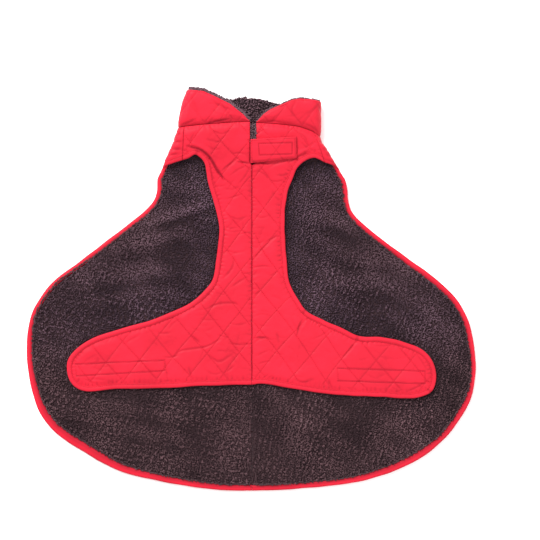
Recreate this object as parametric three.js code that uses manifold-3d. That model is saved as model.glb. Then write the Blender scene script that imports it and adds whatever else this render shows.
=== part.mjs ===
// A dog's winter coat, opened out and laid flat on its back, in millimetres.
// The back panel lies shell side down with its pile lining up. Its shoulders wrap round the sides
// of the neck to meet the quilted chest piece, whose two wings lie out over the pile.
// +X is to the right, +Y runs from the hem to the collar and +Z is up.
// Each side is cut in flat pattern coordinates: reach is the distance along the cloth from the
// centre back, out round the side fold and back in over the front, and y runs up the coat.

import * as THREE from 'three';
import Module from 'manifold-3d';
import { mergeVertices } from 'three/addons/utils/BufferGeometryUtils.js';

const wasm = await Module();
wasm.setup();

// Cloth thicknesses and clearances
const seamGap = 0.3;
const shellThickness = 2;
const liningThickness = 4;
const chestThickness = 4.5;
const collarShellThickness = 2.5;
const collarLiningThickness = 3.2;
const foldEase = 0.8;
const liningInset = 0.9;
const backThickness = shellThickness + seamGap + liningThickness;

// Edge binding
const bindingWidth = 7.5;
const bindingCrown = 0.7;
const bindingStep = 11;
const curvedStep = 4.5;
const seamTurn = 16;

// Diamond quilting
const quiltWide = 48;
const quiltTall = 60;
const quiltPuff = 1.9;
const quiltSteps = 4;
const quiltEdgeFade = 9;

// Neck opening, and the fastening tab that closes it
const openingBottom = 188;
const openingLeftEdge = 3;
const openingRightEdge = 6.5;
const openingTaper = 6;
const placketInset = 0.4;
const placketThickness = 4;
const tabThickness = 3.4;
const tabRelease = 0.6;

// Collar
const collarSeamDip = 3;
const collarSeamWidth = 7;
const collarRows = 4;
const collarPuff = 1.5;
const collarLiningSeam = -8;
const foldSteps = 8;
const smallestCollar = 2.5;

// Hook tapes, sewn into shallow seats
const tapeThickness = 1.5;
const tapeWidth = 20;
const tapeSeatDepth = tapeThickness + seamGap;
const seatOverrun = 1;

const finishes = {
  shell: { color: 0xff3449, roughness: 0.6 },
  binding: { color: 0xf02c40, roughness: 0.55 },
  pile: { color: 0x46343a, roughness: 0.95 },
  tape: { color: 0xc8202f, roughness: 0.8 },
};

// The flattened neck tube: half-width from the centre to each side fold, and its height.
// Below the armholes the fold runs outside the panel, which lies flat there.
const neckSections = [
  { y: 310, left: 95, right: 103, height: 27 },
  { y: 297, left: 98, right: 103.5, height: 27 },
  { y: 285, left: 102, right: 103.5, height: 27 },
  { y: 261, left: 108, right: 103, height: 26 },
  { y: 248, left: 111, right: 103, height: 24.5 },
  { y: 225, left: 117, right: 104.5, height: 22 },
  { y: 207, left: 124.5, right: 115, height: 19.5 },
  { y: 195, left: 130, right: 122, height: 17.8 },
  { y: 183, left: 134.5, right: 129.5, height: 16.5 },
  { y: 171, left: 152, right: 147, height: 15 },
  { y: 150, left: 190, right: 190, height: 13 },
  { y: 118, left: 400, right: 400, height: 11.1 },
  { y: -310, left: 400, right: 400, height: 11.1 },
];

// Height of the collar seam round the neck: 0 at the centre front, 1 at the side fold,
// 2 at the centre back
const collarSeam = [
  { around: 0, left: 251.3, right: 249.6 },
  { around: 0.6, left: 247.2, right: 244.5 },
  { around: 0.78, left: 245, right: 238.5 },
  { around: 1, left: 242.5, right: 229 },
  { around: 1.3, left: 243, right: 238 },
  { around: 2, left: 243, right: 243 },
];

const sides = [
  {
    name: 'left',
    sign: -1,
    openingEdge: openingLeftEdge,
    quiltOrigin: { across: 16.5, y: -31 },
    collarQuiltOrigin: { across: 71, y: 250 },
    shoulderSeam: [{ across: 103.5, y: 194.3 }, { across: 101.4, y: 244 }],
    // Outer edge of the shoulder, on the front of the neck
    shoulderEdge: [{ across: 120, y: 189 }],
    foldY: 183,
    // Outer edge of the back panel, from the armhole to the centre of the hem
    hem: [
      { across: 138, y: 176 }, { across: 141.5, y: 166 }, { across: 142, y: 150 },
      { across: 147, y: 135 }, { across: 159, y: 120 }, { across: 177, y: 105 },
      { across: 216, y: 75 }, { across: 255, y: 45 }, { across: 295.5, y: 15 },
      { across: 319.5, y: -15 }, { across: 333, y: -45 }, { across: 337.5, y: -97 },
      { across: 333, y: -135 }, { across: 319.5, y: -180 }, { across: 298.5, y: -210 },
      { across: 256.5, y: -240 }, { across: 201, y: -270 }, { across: 145.5, y: -285 },
      { across: 49.5, y: -299.5 }, { across: 0, y: -300.7 },
    ],
    // Outer edge of the chest piece, from the shoulder seam round the wing to the centre
    chestEdge: [
      { across: 103.5, y: 194.3 }, { across: 95, y: 197 }, { across: 85, y: 202.5 },
      { across: 76, y: 197 }, { across: 70.5, y: 189 }, { across: 68.3, y: 177 },
      { across: 66, y: 162 }, { across: 57.8, y: 135 }, { across: 50.3, y: 105 },
      { across: 48.8, y: 90 }, { across: 50.3, y: 72 }, { across: 53.3, y: 45 },
      { across: 59.3, y: 15 }, { across: 69.8, y: 0 }, { across: 86.3, y: -15 },
      { across: 113.3, y: -30 }, { across: 150.8, y: -45 }, { across: 203.3, y: -60 },
      { across: 243.8, y: -75 }, { across: 264.8, y: -90 }, { across: 275.3, y: -105 },
      { across: 276.8, y: -120 }, { across: 273, y: -135 }, { across: 263.9, y: -145.5 },
      { across: 248.4, y: -151.2 }, { across: 200, y: -147.9 }, { across: 134, y: -146.7 },
      { across: 68, y: -143 }, { across: 0, y: -141.6 },
    ],
    collarFront: [
      { across: 3.3, y: 251.7 }, { across: 12.5, y: 261.8 }, { across: 32.4, y: 277.8 },
      { across: 56.6, y: 289.8 }, { across: 72.6, y: 296.9 }, { across: 98, y: 299.3 },
    ],
    collarBack: [
      { across: 0, y: 287 }, { across: 12, y: 285.5 }, { across: 29.4, y: 281.5 },
      { across: 55, y: 285 }, { across: 98, y: 298 },
    ],
    liningRim: 3.5,
    tape: { from: 130, to: 262, y: -121, slope: -0.045 },
    folds: [
      { from: { across: 150, y: 100 }, to: { across: 66, y: 129 }, height: 3.6, width: 9 },
      { from: { across: 205, y: 62 }, to: { across: 92, y: 84 }, height: 2, width: 15 },
      { from: { across: 268, y: 8 }, to: { across: 120, y: 30 }, height: 2.2, width: 17 },
      { from: { across: 296, y: -172 }, to: { across: 178, y: -206 }, height: 1.8, width: 16 },
    ],
  },
  {
    name: 'right',
    sign: 1,
    openingEdge: openingRightEdge,
    quiltOrigin: { across: 15, y: 2 },
    collarQuiltOrigin: { across: 75, y: 246 },
    shoulderSeam: [{ across: 108.5, y: 190.8 }, { across: 94.5, y: 235 }],
    shoulderEdge: [],
    foldY: 183,
    hem: [
      { across: 134, y: 175 }, { across: 139.5, y: 165 }, { across: 143, y: 150 },
      { across: 144, y: 135 }, { across: 148.5, y: 120 }, { across: 160.5, y: 105 },
      { across: 196.5, y: 75 }, { across: 237, y: 45 }, { across: 277.5, y: 15 },
      { across: 307.5, y: -15 }, { across: 324, y: -45 }, { across: 333.7, y: -90 },
      { across: 334.5, y: -130 }, { across: 327, y: -165 }, { across: 310.5, y: -195 },
      { across: 286.5, y: -225 }, { across: 247.5, y: -255 }, { across: 169.5, y: -285 },
      { across: 60, y: -298.5 }, { across: 0, y: -300.7 },
    ],
    chestEdge: [
      { across: 108.5, y: 190.8 }, { across: 101, y: 195 }, { across: 93, y: 197.5 },
      { across: 82, y: 194.5 }, { across: 73.5, y: 189 }, { across: 67.5, y: 182 },
      { across: 61, y: 168 }, { across: 54, y: 150 }, { across: 50.3, y: 127.5 },
      { across: 48.8, y: 102 }, { across: 49.5, y: 75 }, { across: 51.8, y: 45 },
      { across: 54.8, y: 15 }, { across: 60.8, y: 0 }, { across: 69.8, y: -15 },
      { across: 80.3, y: -30 }, { across: 107.3, y: -45 }, { across: 140.3, y: -60 },
      { across: 158.7, y: -68.5 }, { across: 195, y: -70.8 }, { across: 225, y: -77 },
      { across: 255.8, y: -90 }, { across: 269.3, y: -105 }, { across: 275, y: -122 },
      { across: 274.5, y: -139 }, { across: 267.6, y: -153 }, { across: 245.7, y: -161.4 },
      { across: 195, y: -159.9 }, { across: 115.8, y: -155.6 }, { across: 63, y: -147.9 },
      { across: 16.8, y: -140 }, { across: 0, y: -141.6 },
    ],
    collarFront: [
      { across: 6.8, y: 250.7 }, { across: 17.7, y: 262.7 }, { across: 27.8, y: 269.7 },
      { across: 43.8, y: 276.8 }, { across: 60, y: 283.8 }, { across: 72, y: 285.8 },
      { across: 88, y: 284.3 }, { across: 103, y: 282.3 },
    ],
    collarBack: [
      { across: 0, y: 287 }, { across: 17.7, y: 284 }, { across: 31.8, y: 280 },
      { across: 44, y: 276.5 }, { across: 103, y: 281 },
    ],
    liningRim: 1,
    tape: { from: 128, to: 259, y: -128, slope: -0.03 },
    folds: [
      { from: { across: 150, y: 92 }, to: { across: 76, y: 112 }, height: 2.2, width: 12 },
      { from: { across: 236, y: 4 }, to: { across: 108, y: 12 }, height: 2, width: 16 },
      { from: { across: 300, y: -118 }, to: { across: 312, y: -8 }, height: 2, width: 13 },
    ],
  },
];

// The tab leaves the left front's edge and lies over the right front
const tabCorners = [
  { across: -2.2, y: 189.4 }, { across: 66.8, y: 197 },
  { across: 66.2, y: 229.2 }, { across: -2.2, y: 225 },
];
const tabTape = { from: 11, to: 60, y: 211.5, slope: 0.045 };

const rightSide = sides[1];

// Value of a table's column, between its rows
function tableValue(rows, key, column, at) {
  const rising = rows[0][key] < rows[rows.length - 1][key];
  const ordered = rising ? rows : [...rows].reverse();
  const next = ordered.findIndex((row) => row[key] >= at);
  if (next === 0) {
    return ordered[0][column];
  }
  if (next < 0) {
    return ordered[ordered.length - 1][column];
  }
  const low = ordered[next - 1];
  const high = ordered[next];
  const share = (at - low[key]) / (high[key] - low[key]);
  return THREE.MathUtils.lerp(low[column], high[column], share);
}

// The neck tube at a height: its fold radius, its flat half-width and the fold's own reach
function sectionAt(side, y) {
  const radius = tableValue(neckSections, 'y', 'height', y) / 2;
  const flat = tableValue(neckSections, 'y', side.name, y) - radius;
  return { radius, flat, fold: flat + (Math.PI * radius) / 2 };
}

// Reach of a point that lies on the front, a distance across from the centre
function frontReach(side, across, y) {
  return 2 * sectionAt(side, y).fold - across;
}

function collarSeamY(side, around) {
  return tableValue(collarSeam, 'around', side.name, Math.abs(around));
}

// Place of a pattern point. depth runs inward from the cloth's outer face, and the collar seam
// draws the front of the neck in.
function lay(side, reach, y, depth) {
  const { radius, flat, fold } = sectionAt(side, y);
  const turn = THREE.MathUtils.clamp((reach - flat) / radius, 0, Math.PI);
  const frontShare = (1 - Math.cos(turn)) / 2;
  const fromSeam = (y - collarSeamY(side, 2 - reach / fold)) / collarSeamWidth;
  const sunk = collarSeamDip * Math.exp(-fromSeam * fromSeam) * frontShare;
  const arm = radius - depth - sunk;
  const along = Math.min(reach, flat) - Math.max(0, reach - flat - Math.PI * radius);
  return [side.sign * (along + Math.sin(turn) * arm), y, radius - Math.cos(turn) * arm];
}

function layFront(side, across, y, depth) {
  return lay(side, frontReach(side, across, y), y, depth);
}

// How far round the side fold a reach lies: 0 on either flat run, 1 at the fold itself
function foldShare(side, reach, y) {
  const { radius, flat } = sectionAt(side, y);
  return Math.sin(THREE.MathUtils.clamp((reach - flat) / radius, 0, Math.PI));
}

// Height of the quilting over its stitch lines: diamonds puffed up between crossing lines
function quiltRelief(origin, across, y, puff) {
  const fullness = 0.7;
  const rise = (across - origin.across) / quiltWide;
  const run = (y - origin.y) / quiltTall;
  const pillow = (value) => {
    const part = value - Math.floor(value);
    return Math.pow(4 * part * (1 - part), fullness);
  };
  return puff * pillow(rise + run) * pillow(rise - run);
}

// Outlines in the flat

const flatPoint = (x, y) => new THREE.Vector2(x, y);

// Points along a smooth curve through a table's rows; spacing gives the distance to the next
function smoothRun(points, spacing) {
  const finePerPoint = 60;
  const controls = points.map((point) => new THREE.Vector3(point.x, point.y, 0));
  const curve = new THREE.CatmullRomCurve3(controls, false, 'centripetal');
  const fine = curve.getPoints(finePerPoint * points.length);
  const length = curve.getLength();
  const kept = [flatPoint(fine[0].x, fine[0].y)];
  let sinceLast = 0;
  let travelled = 0;
  for (let i = 1; i < fine.length; i += 1) {
    const step = fine[i].distanceTo(fine[i - 1]);
    sinceLast += step;
    travelled += step;
    const wanted = spacing(fine[i]);
    if (sinceLast >= wanted && length - travelled > wanted / 2) {
      kept.push(flatPoint(fine[i].x, fine[i].y));
      sinceLast = 0;
    }
  }
  const last = fine[fine.length - 1];
  kept.push(flatPoint(last.x, last.y));
  return kept;
}

function straightRun(from, to, step) {
  const count = Math.max(1, Math.round(from.distanceTo(to) / step));
  return Array.from({ length: count + 1 }, (_, i) => from.clone().lerp(to, i / count));
}

// An edge: its run, and vectors across it towards the cloth on its right-hand side. They turn
// from the direction of the seam where it starts, and end along the coat's centre line.
function edgeOf(run, start) {
  const inward = run.map((point, i) => {
    if (i === run.length - 1) {
      return flatPoint(0, 1);
    }
    const ahead = run[i + 1];
    const behind = run[Math.max(i - 1, 0)];
    const square = flatPoint(ahead.y - behind.y, behind.x - ahead.x).normalize();
    return start.clone().lerp(square, Math.min(1, point.distanceTo(run[0]) / seamTurn));
  });
  return { run, inward };
}

function distanceToSegment(point, from, to) {
  const shortest = 1e-9;
  const along = to.clone().sub(from);
  const share = point.clone().sub(from).dot(along) / Math.max(along.lengthSq(), shortest);
  return point.distanceTo(from.clone().addScaledVector(along, THREE.MathUtils.clamp(share, 0, 1)));
}

function distanceToRun(point, run, closed) {
  const last = closed ? run.length : run.length - 1;
  let nearest = Infinity;
  for (let i = 0; i < last; i += 1) {
    nearest = Math.min(nearest, distanceToSegment(point, run[i], run[(i + 1) % run.length]));
  }
  return nearest;
}

// The edge moved into the cloth, without the points that a tight bend crowds together
function inset({ run, inward }, distance) {
  const tolerance = 0.06;
  const moved = run.map((point, i) => point.clone().addScaledVector(inward[i], distance));
  return moved.filter((point, i) => (
    run[i].distanceTo(run[0]) < seamTurn || distanceToRun(point, run, false) > distance - tolerance
  ));
}

// Runs joined end to end into one closed outline, anticlockwise
function outlineOf(...runs) {
  const closest = 0.4;
  const points = [];
  for (const point of runs.flat()) {
    if (points.length === 0 || point.distanceTo(points[points.length - 1]) > closest) {
      points.push(point);
    }
  }
  if (points[0].distanceTo(points[points.length - 1]) < closest) {
    points.pop();
  }
  return THREE.ShapeUtils.area(points) < 0 ? points.reverse() : points;
}

// A closed outline with straight sides between its corners, and points a step apart on them
function closedOutline(corners, step) {
  return outlineOf(...corners.map((corner, i) => (
    straightRun(corner, corners[(i + 1) % corners.length], step)
  )));
}

function isInside(point, outline) {
  let inside = false;
  for (let i = 0, j = outline.length - 1; i < outline.length; j = i, i += 1) {
    const a = outline[i];
    const b = outline[j];
    const crosses = a.y > point.y !== b.y > point.y;
    if (crosses && point.x < ((b.x - a.x) * (point.y - a.y)) / (b.y - a.y) + a.x) {
      inside = !inside;
    }
  }
  return inside;
}

// Delaunay triangles of flat points, each point put into the triangles found so far
function delaunay(points) {
  const far = 1e5;
  const count = points.length;
  const all = [...points, flatPoint(-far, -far), flatPoint(far, -far), flatPoint(0, far)];
  const withCircle = (a, b, c) => {
    const from = all[a];
    const p = all[b].clone().sub(from);
    const q = all[c].clone().sub(from);
    const twice = 2 * p.cross(q);
    const x = (q.y * p.lengthSq() - p.y * q.lengthSq()) / twice;
    const y = (p.x * q.lengthSq() - q.x * p.lengthSq()) / twice;
    return { corners: [a, b, c], x: from.x + x, y: from.y + y, square: x * x + y * y };
  };
  let triangles = [withCircle(count, count + 1, count + 2)];
  points.forEach((point, index) => {
    const border = new Map();
    triangles = triangles.filter(({ corners, x, y, square }) => {
      if ((point.x - x) ** 2 + (point.y - y) ** 2 >= square) {
        return true;
      }
      corners.forEach((from, k) => {
        const to = corners[(k + 1) % 3];
        if (!border.delete(`${to},${from}`)) {
          border.set(`${from},${to}`, [from, to]);
        }
      });
      return false;
    });
    border.forEach(([from, to]) => triangles.push(withCircle(from, to, index)));
  });
  return triangles.map(({ corners }) => corners).filter((corners) => Math.max(...corners) < count);
}

// Triangles over an outline, through the inner points that keep clear of its edge
function cover(outline, innerPoints, clearance) {
  const kept = innerPoints.filter(
    (point) => isInside(point, outline) && distanceToRun(point, outline, true) > clearance,
  );
  const points = [...outline, ...kept];
  const triangles = delaunay(points).filter(([a, b, c]) => {
    const middle = points[a].clone().add(points[b]).add(points[c]).divideScalar(3);
    return isInside(middle, outline);
  });
  return { points, triangles };
}

// Rows of points, each row set half a step along from the last
function staggered(outline, step) {
  const rowShare = 0.82;
  const box = new THREE.Box2().setFromPoints(outline);
  const rowStep = step * rowShare;
  const points = [];
  for (let row = 0; box.min.y + row * rowStep < box.max.y; row += 1) {
    const shift = (row % 2) * (step / 2);
    for (let x = box.min.x + shift; x < box.max.x; x += step) {
      points.push(flatPoint(x, box.min.y + row * rowStep));
    }
  }
  return points;
}

// Points on the quilting's own lines, so that each stitch line is an edge of the wall
function quiltPoints(outline, origin) {
  const box = new THREE.Box2().setFromPoints(outline);
  const halfWide = quiltWide / 2 / quiltSteps;
  const halfTall = quiltTall / 2 / quiltSteps;
  const firstColumn = Math.floor((box.min.x - origin.across) / halfWide);
  const lastColumn = Math.ceil((box.max.x - origin.across) / halfWide);
  const firstRow = Math.floor((box.min.y - origin.y) / halfTall);
  const lastRow = Math.ceil((box.max.y - origin.y) / halfTall);
  const points = [];
  for (let column = firstColumn; column <= lastColumn; column += 1) {
    for (let row = firstRow; row <= lastRow; row += 1) {
      if ((column + row) % 2 === 0) {
        points.push(flatPoint(origin.across + column * halfWide, origin.y + row * halfTall));
      }
    }
  }
  return points;
}

// Solids

function solid(positions, faces) {
  const geometry = new THREE.BufferGeometry();
  geometry.setAttribute('position', new THREE.Float32BufferAttribute(positions, 3));
  geometry.setIndex(signedVolume(positions, faces) < 0 ? [...faces].reverse() : faces);
  return geometry;
}

function signedVolume(positions, faces) {
  const corner = (index) => new THREE.Vector3().fromArray(positions, index * 3);
  let volume = 0;
  for (let i = 0; i < faces.length; i += 3) {
    volume += corner(faces[i]).dot(corner(faces[i + 1]).cross(corner(faces[i + 2])));
  }
  return volume;
}

// A closed wall over an outline: its outer face, its inner face and the rim that joins them.
// place gives a point's place on the outer or the inner face.
function clothWall(outline, outerPoints, innerPoints, clearance, place) {
  const outer = cover(outline, outerPoints, clearance);
  const inner = cover(outline, innerPoints, clearance);
  const shift = outer.points.length;
  const positions = [
    ...outer.points.flatMap((point) => place(point, true)),
    ...inner.points.flatMap((point) => place(point, false)),
  ];
  const faces = outer.triangles.flat();
  for (const [a, b, c] of inner.triangles) {
    faces.push(a + shift, c + shift, b + shift);
  }
  for (let i = 0; i < outline.length; i += 1) {
    const next = (i + 1) % outline.length;
    faces.push(next, i, i + shift);
    faces.push(next, i + shift, next + shift);
  }
  return solid(positions, faces);
}

// A closed wall from rows of points: outer and inner rows of the same length
function rowWall(outerRows, innerRows) {
  const columns = outerRows[0].length;
  const rows = outerRows.length;
  const shift = rows * columns;
  const positions = [...outerRows.flat(2), ...innerRows.flat(2)];
  const at = (row, column) => row * columns + column;
  const faces = [];
  for (let row = 0; row < rows - 1; row += 1) {
    for (let column = 0; column < columns - 1; column += 1) {
      const next = row + 1;
      const front = [at(row, column), at(row, column + 1), at(next, column + 1), at(next, column)];
      faces.push(front[0], front[1], front[2], front[0], front[2], front[3]);
      const back = front.map((index) => index + shift);
      faces.push(back[0], back[2], back[1], back[0], back[3], back[2]);
    }
  }
  const border = [];
  for (let column = 0; column < columns - 1; column += 1) {
    border.push([at(0, column), at(0, column + 1)]);
    border.push([at(rows - 1, column + 1), at(rows - 1, column)]);
  }
  for (let row = 0; row < rows - 1; row += 1) {
    border.push([at(row, columns - 1), at(row + 1, columns - 1)]);
    border.push([at(row + 1, 0), at(row, 0)]);
  }
  for (const [from, to] of border) {
    faces.push(to, from, from + shift, to, from + shift, to + shift);
  }
  return solid(positions, faces);
}

// A closed strip: one ring of points at each station, with a cap at each end
function sweptStrip(rings) {
  const size = rings[0].length;
  const faces = [];
  for (let ring = 0; ring < rings.length - 1; ring += 1) {
    const low = ring * size;
    const high = low + size;
    for (let k = 0; k < size; k += 1) {
      const next = (k + 1) % size;
      faces.push(low + k, low + next, high + next, low + k, high + next, high + k);
    }
  }
  const lastRing = (rings.length - 1) * size;
  for (let k = 1; k < size - 1; k += 1) {
    faces.push(0, k + 1, k);
    faces.push(lastRing, lastRing + k, lastRing + k + 1);
  }
  return solid(rings.flat(2), faces);
}

function toManifold(geometry) {
  const tolerance = 1e-4;
  const merged = mergeVertices(geometry, tolerance);
  return new wasm.Manifold(new wasm.Mesh({
    numProp: 3,
    vertProperties: new Float32Array(merged.attributes.position.array),
    triVerts: new Uint32Array(merged.index.array),
  }));
}

function cutFrom(geometry, cutter) {
  const mesh = toManifold(geometry).subtract(toManifold(cutter)).getMesh();
  const cut = new THREE.BufferGeometry();
  cut.setAttribute('position', new THREE.Float32BufferAttribute(mesh.vertProperties, 3));
  cut.setIndex(Array.from(mesh.triVerts));
  return cut;
}

// Binding: a folded strip that wraps the panel's edge. The section runs from its rounded outer
// edge, at width 0, to its sewn edge.
const bindingSection = [
  { width: 0, depth: 0.72 },
  { width: 0, depth: 0.28 },
  { width: 0.28, depth: 0 },
  { width: 1, depth: 0.06 },
  { width: 1, depth: 1 },
  { width: 0.25, depth: 1 },
];

function binding(side, { run, inward }, layAt, outerDepth, innerDepth) {
  const rings = run.map((point, i) => bindingSection.map(({ width, depth }) => {
    const at = point.clone().addScaledVector(inward[i], width * bindingWidth);
    return layAt(side, at.x, at.y, THREE.MathUtils.lerp(outerDepth, innerDepth, depth));
  }));
  return sweptStrip(rings);
}

// The shoulder seam, on the front of the neck, as the chest piece and the back panel meet it
function shoulderAcross(side, y) {
  const [bottom, top] = side.shoulderSeam;
  return THREE.MathUtils.mapLinear(y, bottom.y, top.y, bottom.across, top.across);
}

const chestShoulder = (side, y) => flatPoint(shoulderAcross(side, y) - seamGap / 2, y);

function backShoulder(side, y) {
  return flatPoint(frontReach(side, shoulderAcross(side, y) + seamGap / 2, y), y);
}

// Heights of the points along the shoulder seam, from the collar seam down to the binding
function shoulderHeights(side) {
  const [bottom] = side.shoulderSeam;
  const high = collarSeamY(side, shoulderAround(side)) - seamGap / 2;
  const low = bottom.y + bindingWidth + seamGap;
  const count = 5;
  return Array.from({ length: count + 1 }, (_, i) => THREE.MathUtils.lerp(high, low, i / count));
}

// Direction of the shoulder seam where a binding starts from it
function seamDirection(side, shoulderAt) {
  const [{ y }] = side.shoulderSeam;
  return shoulderAt(side, y + bindingWidth).sub(shoulderAt(side, y)).divideScalar(bindingWidth);
}

// The back panel's outer edge in pattern coordinates, from the shoulder seam to the hem's centre
function backEdge(side) {
  const points = [
    backShoulder(side, side.shoulderSeam[0].y),
    ...side.shoulderEdge.map(({ across, y }) => flatPoint(frontReach(side, across, y), y)),
    flatPoint(sectionAt(side, side.foldY).fold, side.foldY),
    ...side.hem.map(({ across, y }) => flatPoint(Math.max(across, seamGap / 2), y)),
  ];
  const curvedAbove = 160;
  const run = smoothRun(points, (point) => (point.y > curvedAbove ? curvedStep : bindingStep));
  return edgeOf(run, seamDirection(side, backShoulder));
}

// Reaches round the neck from one reach to another, close together at the fold
function reachesAround(side, y, from, to, step) {
  const { radius, flat } = sectionAt(side, y);
  const foldEnd = flat + Math.PI * radius;
  const atFold = Array.from({ length: foldSteps + 1 }, (_, i) => (
    flat + (Math.PI * radius * i) / foldSteps
  ));
  const backCount = Math.max(1, Math.round((flat - from) / step));
  const back = Array.from({ length: backCount }, (_, i) => from + ((flat - from) * i) / backCount);
  const frontCount = Math.max(0, Math.round((to - foldEnd) / step));
  const front = Array.from({ length: frontCount }, (_, i) => (
    foldEnd + ((to - foldEnd) * (i + 1)) / frontCount
  ));
  const closest = 2;
  return [...[...back, ...atFold, ...front].filter((reach) => reach < to - closest), to];
}

// Shares of the way round the neck where the pieces have their points, from the centre back
// to the centre front, with one at the shoulder seam
function aroundStations(side) {
  const foldHalf = 0.18;
  const backCount = 7;
  const frontCount = 12;
  const spread = (from, to, count) => (
    Array.from({ length: count }, (_, i) => THREE.MathUtils.lerp(from, to, i / count))
  );
  const shoulder = shoulderAround(side);
  const closest = 0.02;
  const even = [
    ...spread(2, 1 + foldHalf, backCount),
    ...spread(1 + foldHalf, 1 - foldHalf, foldSteps),
    ...spread(1 - foldHalf, 0, frontCount),
  ].filter((around) => Math.abs(around - shoulder) > closest);
  return [...even, shoulder].sort((a, b) => b - a);
}

function shoulderAround(side) {
  const [, top] = side.shoulderSeam;
  return top.across / sectionAt(side, top.y).fold;
}

// Pattern points of the collar seam between two shares of the way round, just below it
function collarSeamRun(side, from, to, toPoint) {
  return [from, ...aroundStations(side).filter((around) => around < from && around > to), to]
    .map((around) => toPoint(around, collarSeamY(side, around) - seamGap / 2));
}

// Points that bend the shell round the shoulder
function shoulderPoints(side) {
  const rowStep = 10;
  const points = [];
  for (let y = side.foldY - rowStep / 2; y < collarSeamY(side, 1); y += rowStep) {
    const last = frontReach(side, shoulderAcross(side, y), y);
    for (const reach of reachesAround(side, y, seamGap, last, 2 * rowStep)) {
      points.push(flatPoint(reach, y));
    }
  }
  return points;
}

function backShell(side) {
  const clearance = 2.2;
  const edge = inset(backEdge(side), bindingWidth + seamGap);
  const nearCentre = 2 - seamGap / 2 / sectionAt(side, collarSeamY(side, 2)).fold;
  const seam = collarSeamRun(side, nearCentre, shoulderAround(side), (around, y) => (
    flatPoint((2 - around) * sectionAt(side, y).fold, y)
  ));
  const shoulder = shoulderHeights(side).map((y) => backShoulder(side, y));
  seam.pop();
  const outline = outlineOf(seam, shoulder, edge, [flatPoint(seamGap / 2, edge[edge.length - 1].y)]);
  const bend = shoulderPoints(side);
  const place = (point, isOuter) => lay(side, point.x, point.y, isOuter ? 0 : shellThickness);
  return clothWall(outline, bend, bend, clearance, place);
}

function foldHeight(side, point) {
  return side.folds.reduce((height, fold) => {
    const from = flatPoint(fold.from.across, fold.from.y);
    const to = flatPoint(fold.to.across, fold.to.y);
    const offset = distanceToSegment(point, from, to) / fold.width;
    return Math.max(height, fold.height * Math.exp(-offset * offset));
  }, 0);
}

// 0 under the chest piece and 1 well clear of it
function besideChest(point, chest) {
  const pressedWithin = 9;
  const freeBeyond = 24;
  const apart = isInside(point, chest) ? 0 : distanceToRun(point, chest, true);
  return THREE.MathUtils.smoothstep(apart, pressedWithin, freeBeyond);
}

function backLining(side) {
  const foldTurn = 0.8;
  const lowestTurn = 192;
  const topAround = 1.2;
  const seamStep = 14;
  const sideStep = 9;
  const centreStep = 30;
  const faceStep = 19;
  const clearance = 5;
  const edgeFade = 14;
  const edge = inset(backEdge(side), bindingWidth + liningInset).filter(
    (point) => point.y < side.foldY,
  );
  const reachAt = (y) => {
    const { flat, radius } = sectionAt(side, y);
    return flat + radius * foldTurn;
  };
  const topY = collarSeamY(side, topAround) - seamGap / 2;
  const top = flatPoint(reachAt(topY), topY);
  const down = [];
  for (let y = topY - sideStep; y > lowestTurn; y -= sideStep) {
    down.push(flatPoint(reachAt(y), y));
  }
  const seamStart = flatPoint(seamGap / 2, collarSeamY(side, 2) - seamGap / 2);
  const seam = straightRun(seamStart, top, seamStep);
  seam.forEach((point) => {
    const around = 2 - point.x / sectionAt(side, topY).fold;
    point.y = Math.min(point.y, collarSeamY(side, around) - seamGap / 2);
  });
  const last = edge[edge.length - 1];
  const centre = straightRun(flatPoint(seamGap / 2, last.y), seam[0], centreStep);
  const outline = outlineOf(seam, down, edge, centre);
  const chest = outlineOf(chestEdge(side).run, [flatPoint(0, side.foldY)]);
  const place = (point, isOuter) => {
    const eased = foldEase * foldShare(side, point.x, point.y);
    const outerDepth = shellThickness + seamGap + eased;
    const fade = THREE.MathUtils.smoothstep(distanceToRun(point, outline, true), 0, edgeFade);
    const innerDepth = backThickness + foldHeight(side, point) * fade * besideChest(point, chest);
    return lay(side, point.x, point.y, isOuter ? outerDepth : innerDepth);
  };
  const bend = shoulderPoints(side);
  return clothWall(outline, bend, staggered(outline, faceStep), clearance, place);
}

// Chest piece: across runs out from the centre front

const centreFrontStep = 9.5;

function chestEdge(side) {
  const [, ...rest] = side.chestEdge.map(({ across, y }) => (
    flatPoint(Math.max(across, seamGap / 2), y)
  ));
  const points = [chestShoulder(side, side.shoulderSeam[0].y), ...rest];
  const closeAbove = 140;
  const closeStep = 6;
  const run = smoothRun(points, (point) => (point.y > closeAbove ? closeStep : centreFrontStep));
  return edgeOf(run, seamDirection(side, chestShoulder));
}

function chestOutline(side) {
  const edge = inset(chestEdge(side), bindingWidth + seamGap);
  const inner = side.openingEdge;
  const innerAround = inner / sectionAt(side, collarSeamY(side, 0)).fold;
  const seam = collarSeamRun(side, shoulderAround(side), innerAround, (around, y) => (
    flatPoint(around * sectionAt(side, y).fold, y)
  ));
  seam.shift();
  const shoulder = shoulderHeights(side).map((y) => chestShoulder(side, y));
  const last = edge[edge.length - 1];
  const closed = flatPoint(seamGap / 2, openingBottom - openingTaper);
  return outlineOf(
    seam.reverse(),
    shoulder,
    edge,
    straightRun(last, closed, centreFrontStep),
    straightRun(flatPoint(inner, openingBottom), seam[0], centreFrontStep),
  );
}

const tabOutline = tabCorners.map(({ across, y }) => flatPoint(across, y));

// Nearly 0 where the tab presses on the cloth, and 1 away from it
function clearOfTab(side, point) {
  const pressedWithin = 2;
  const freeBeyond = 12;
  if (side !== rightSide) {
    return 1;
  }
  const apart = isInside(point, tabOutline) ? 0 : distanceToRun(point, tabOutline, true);
  return THREE.MathUtils.smoothstep(apart, pressedWithin, freeBeyond);
}

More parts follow.
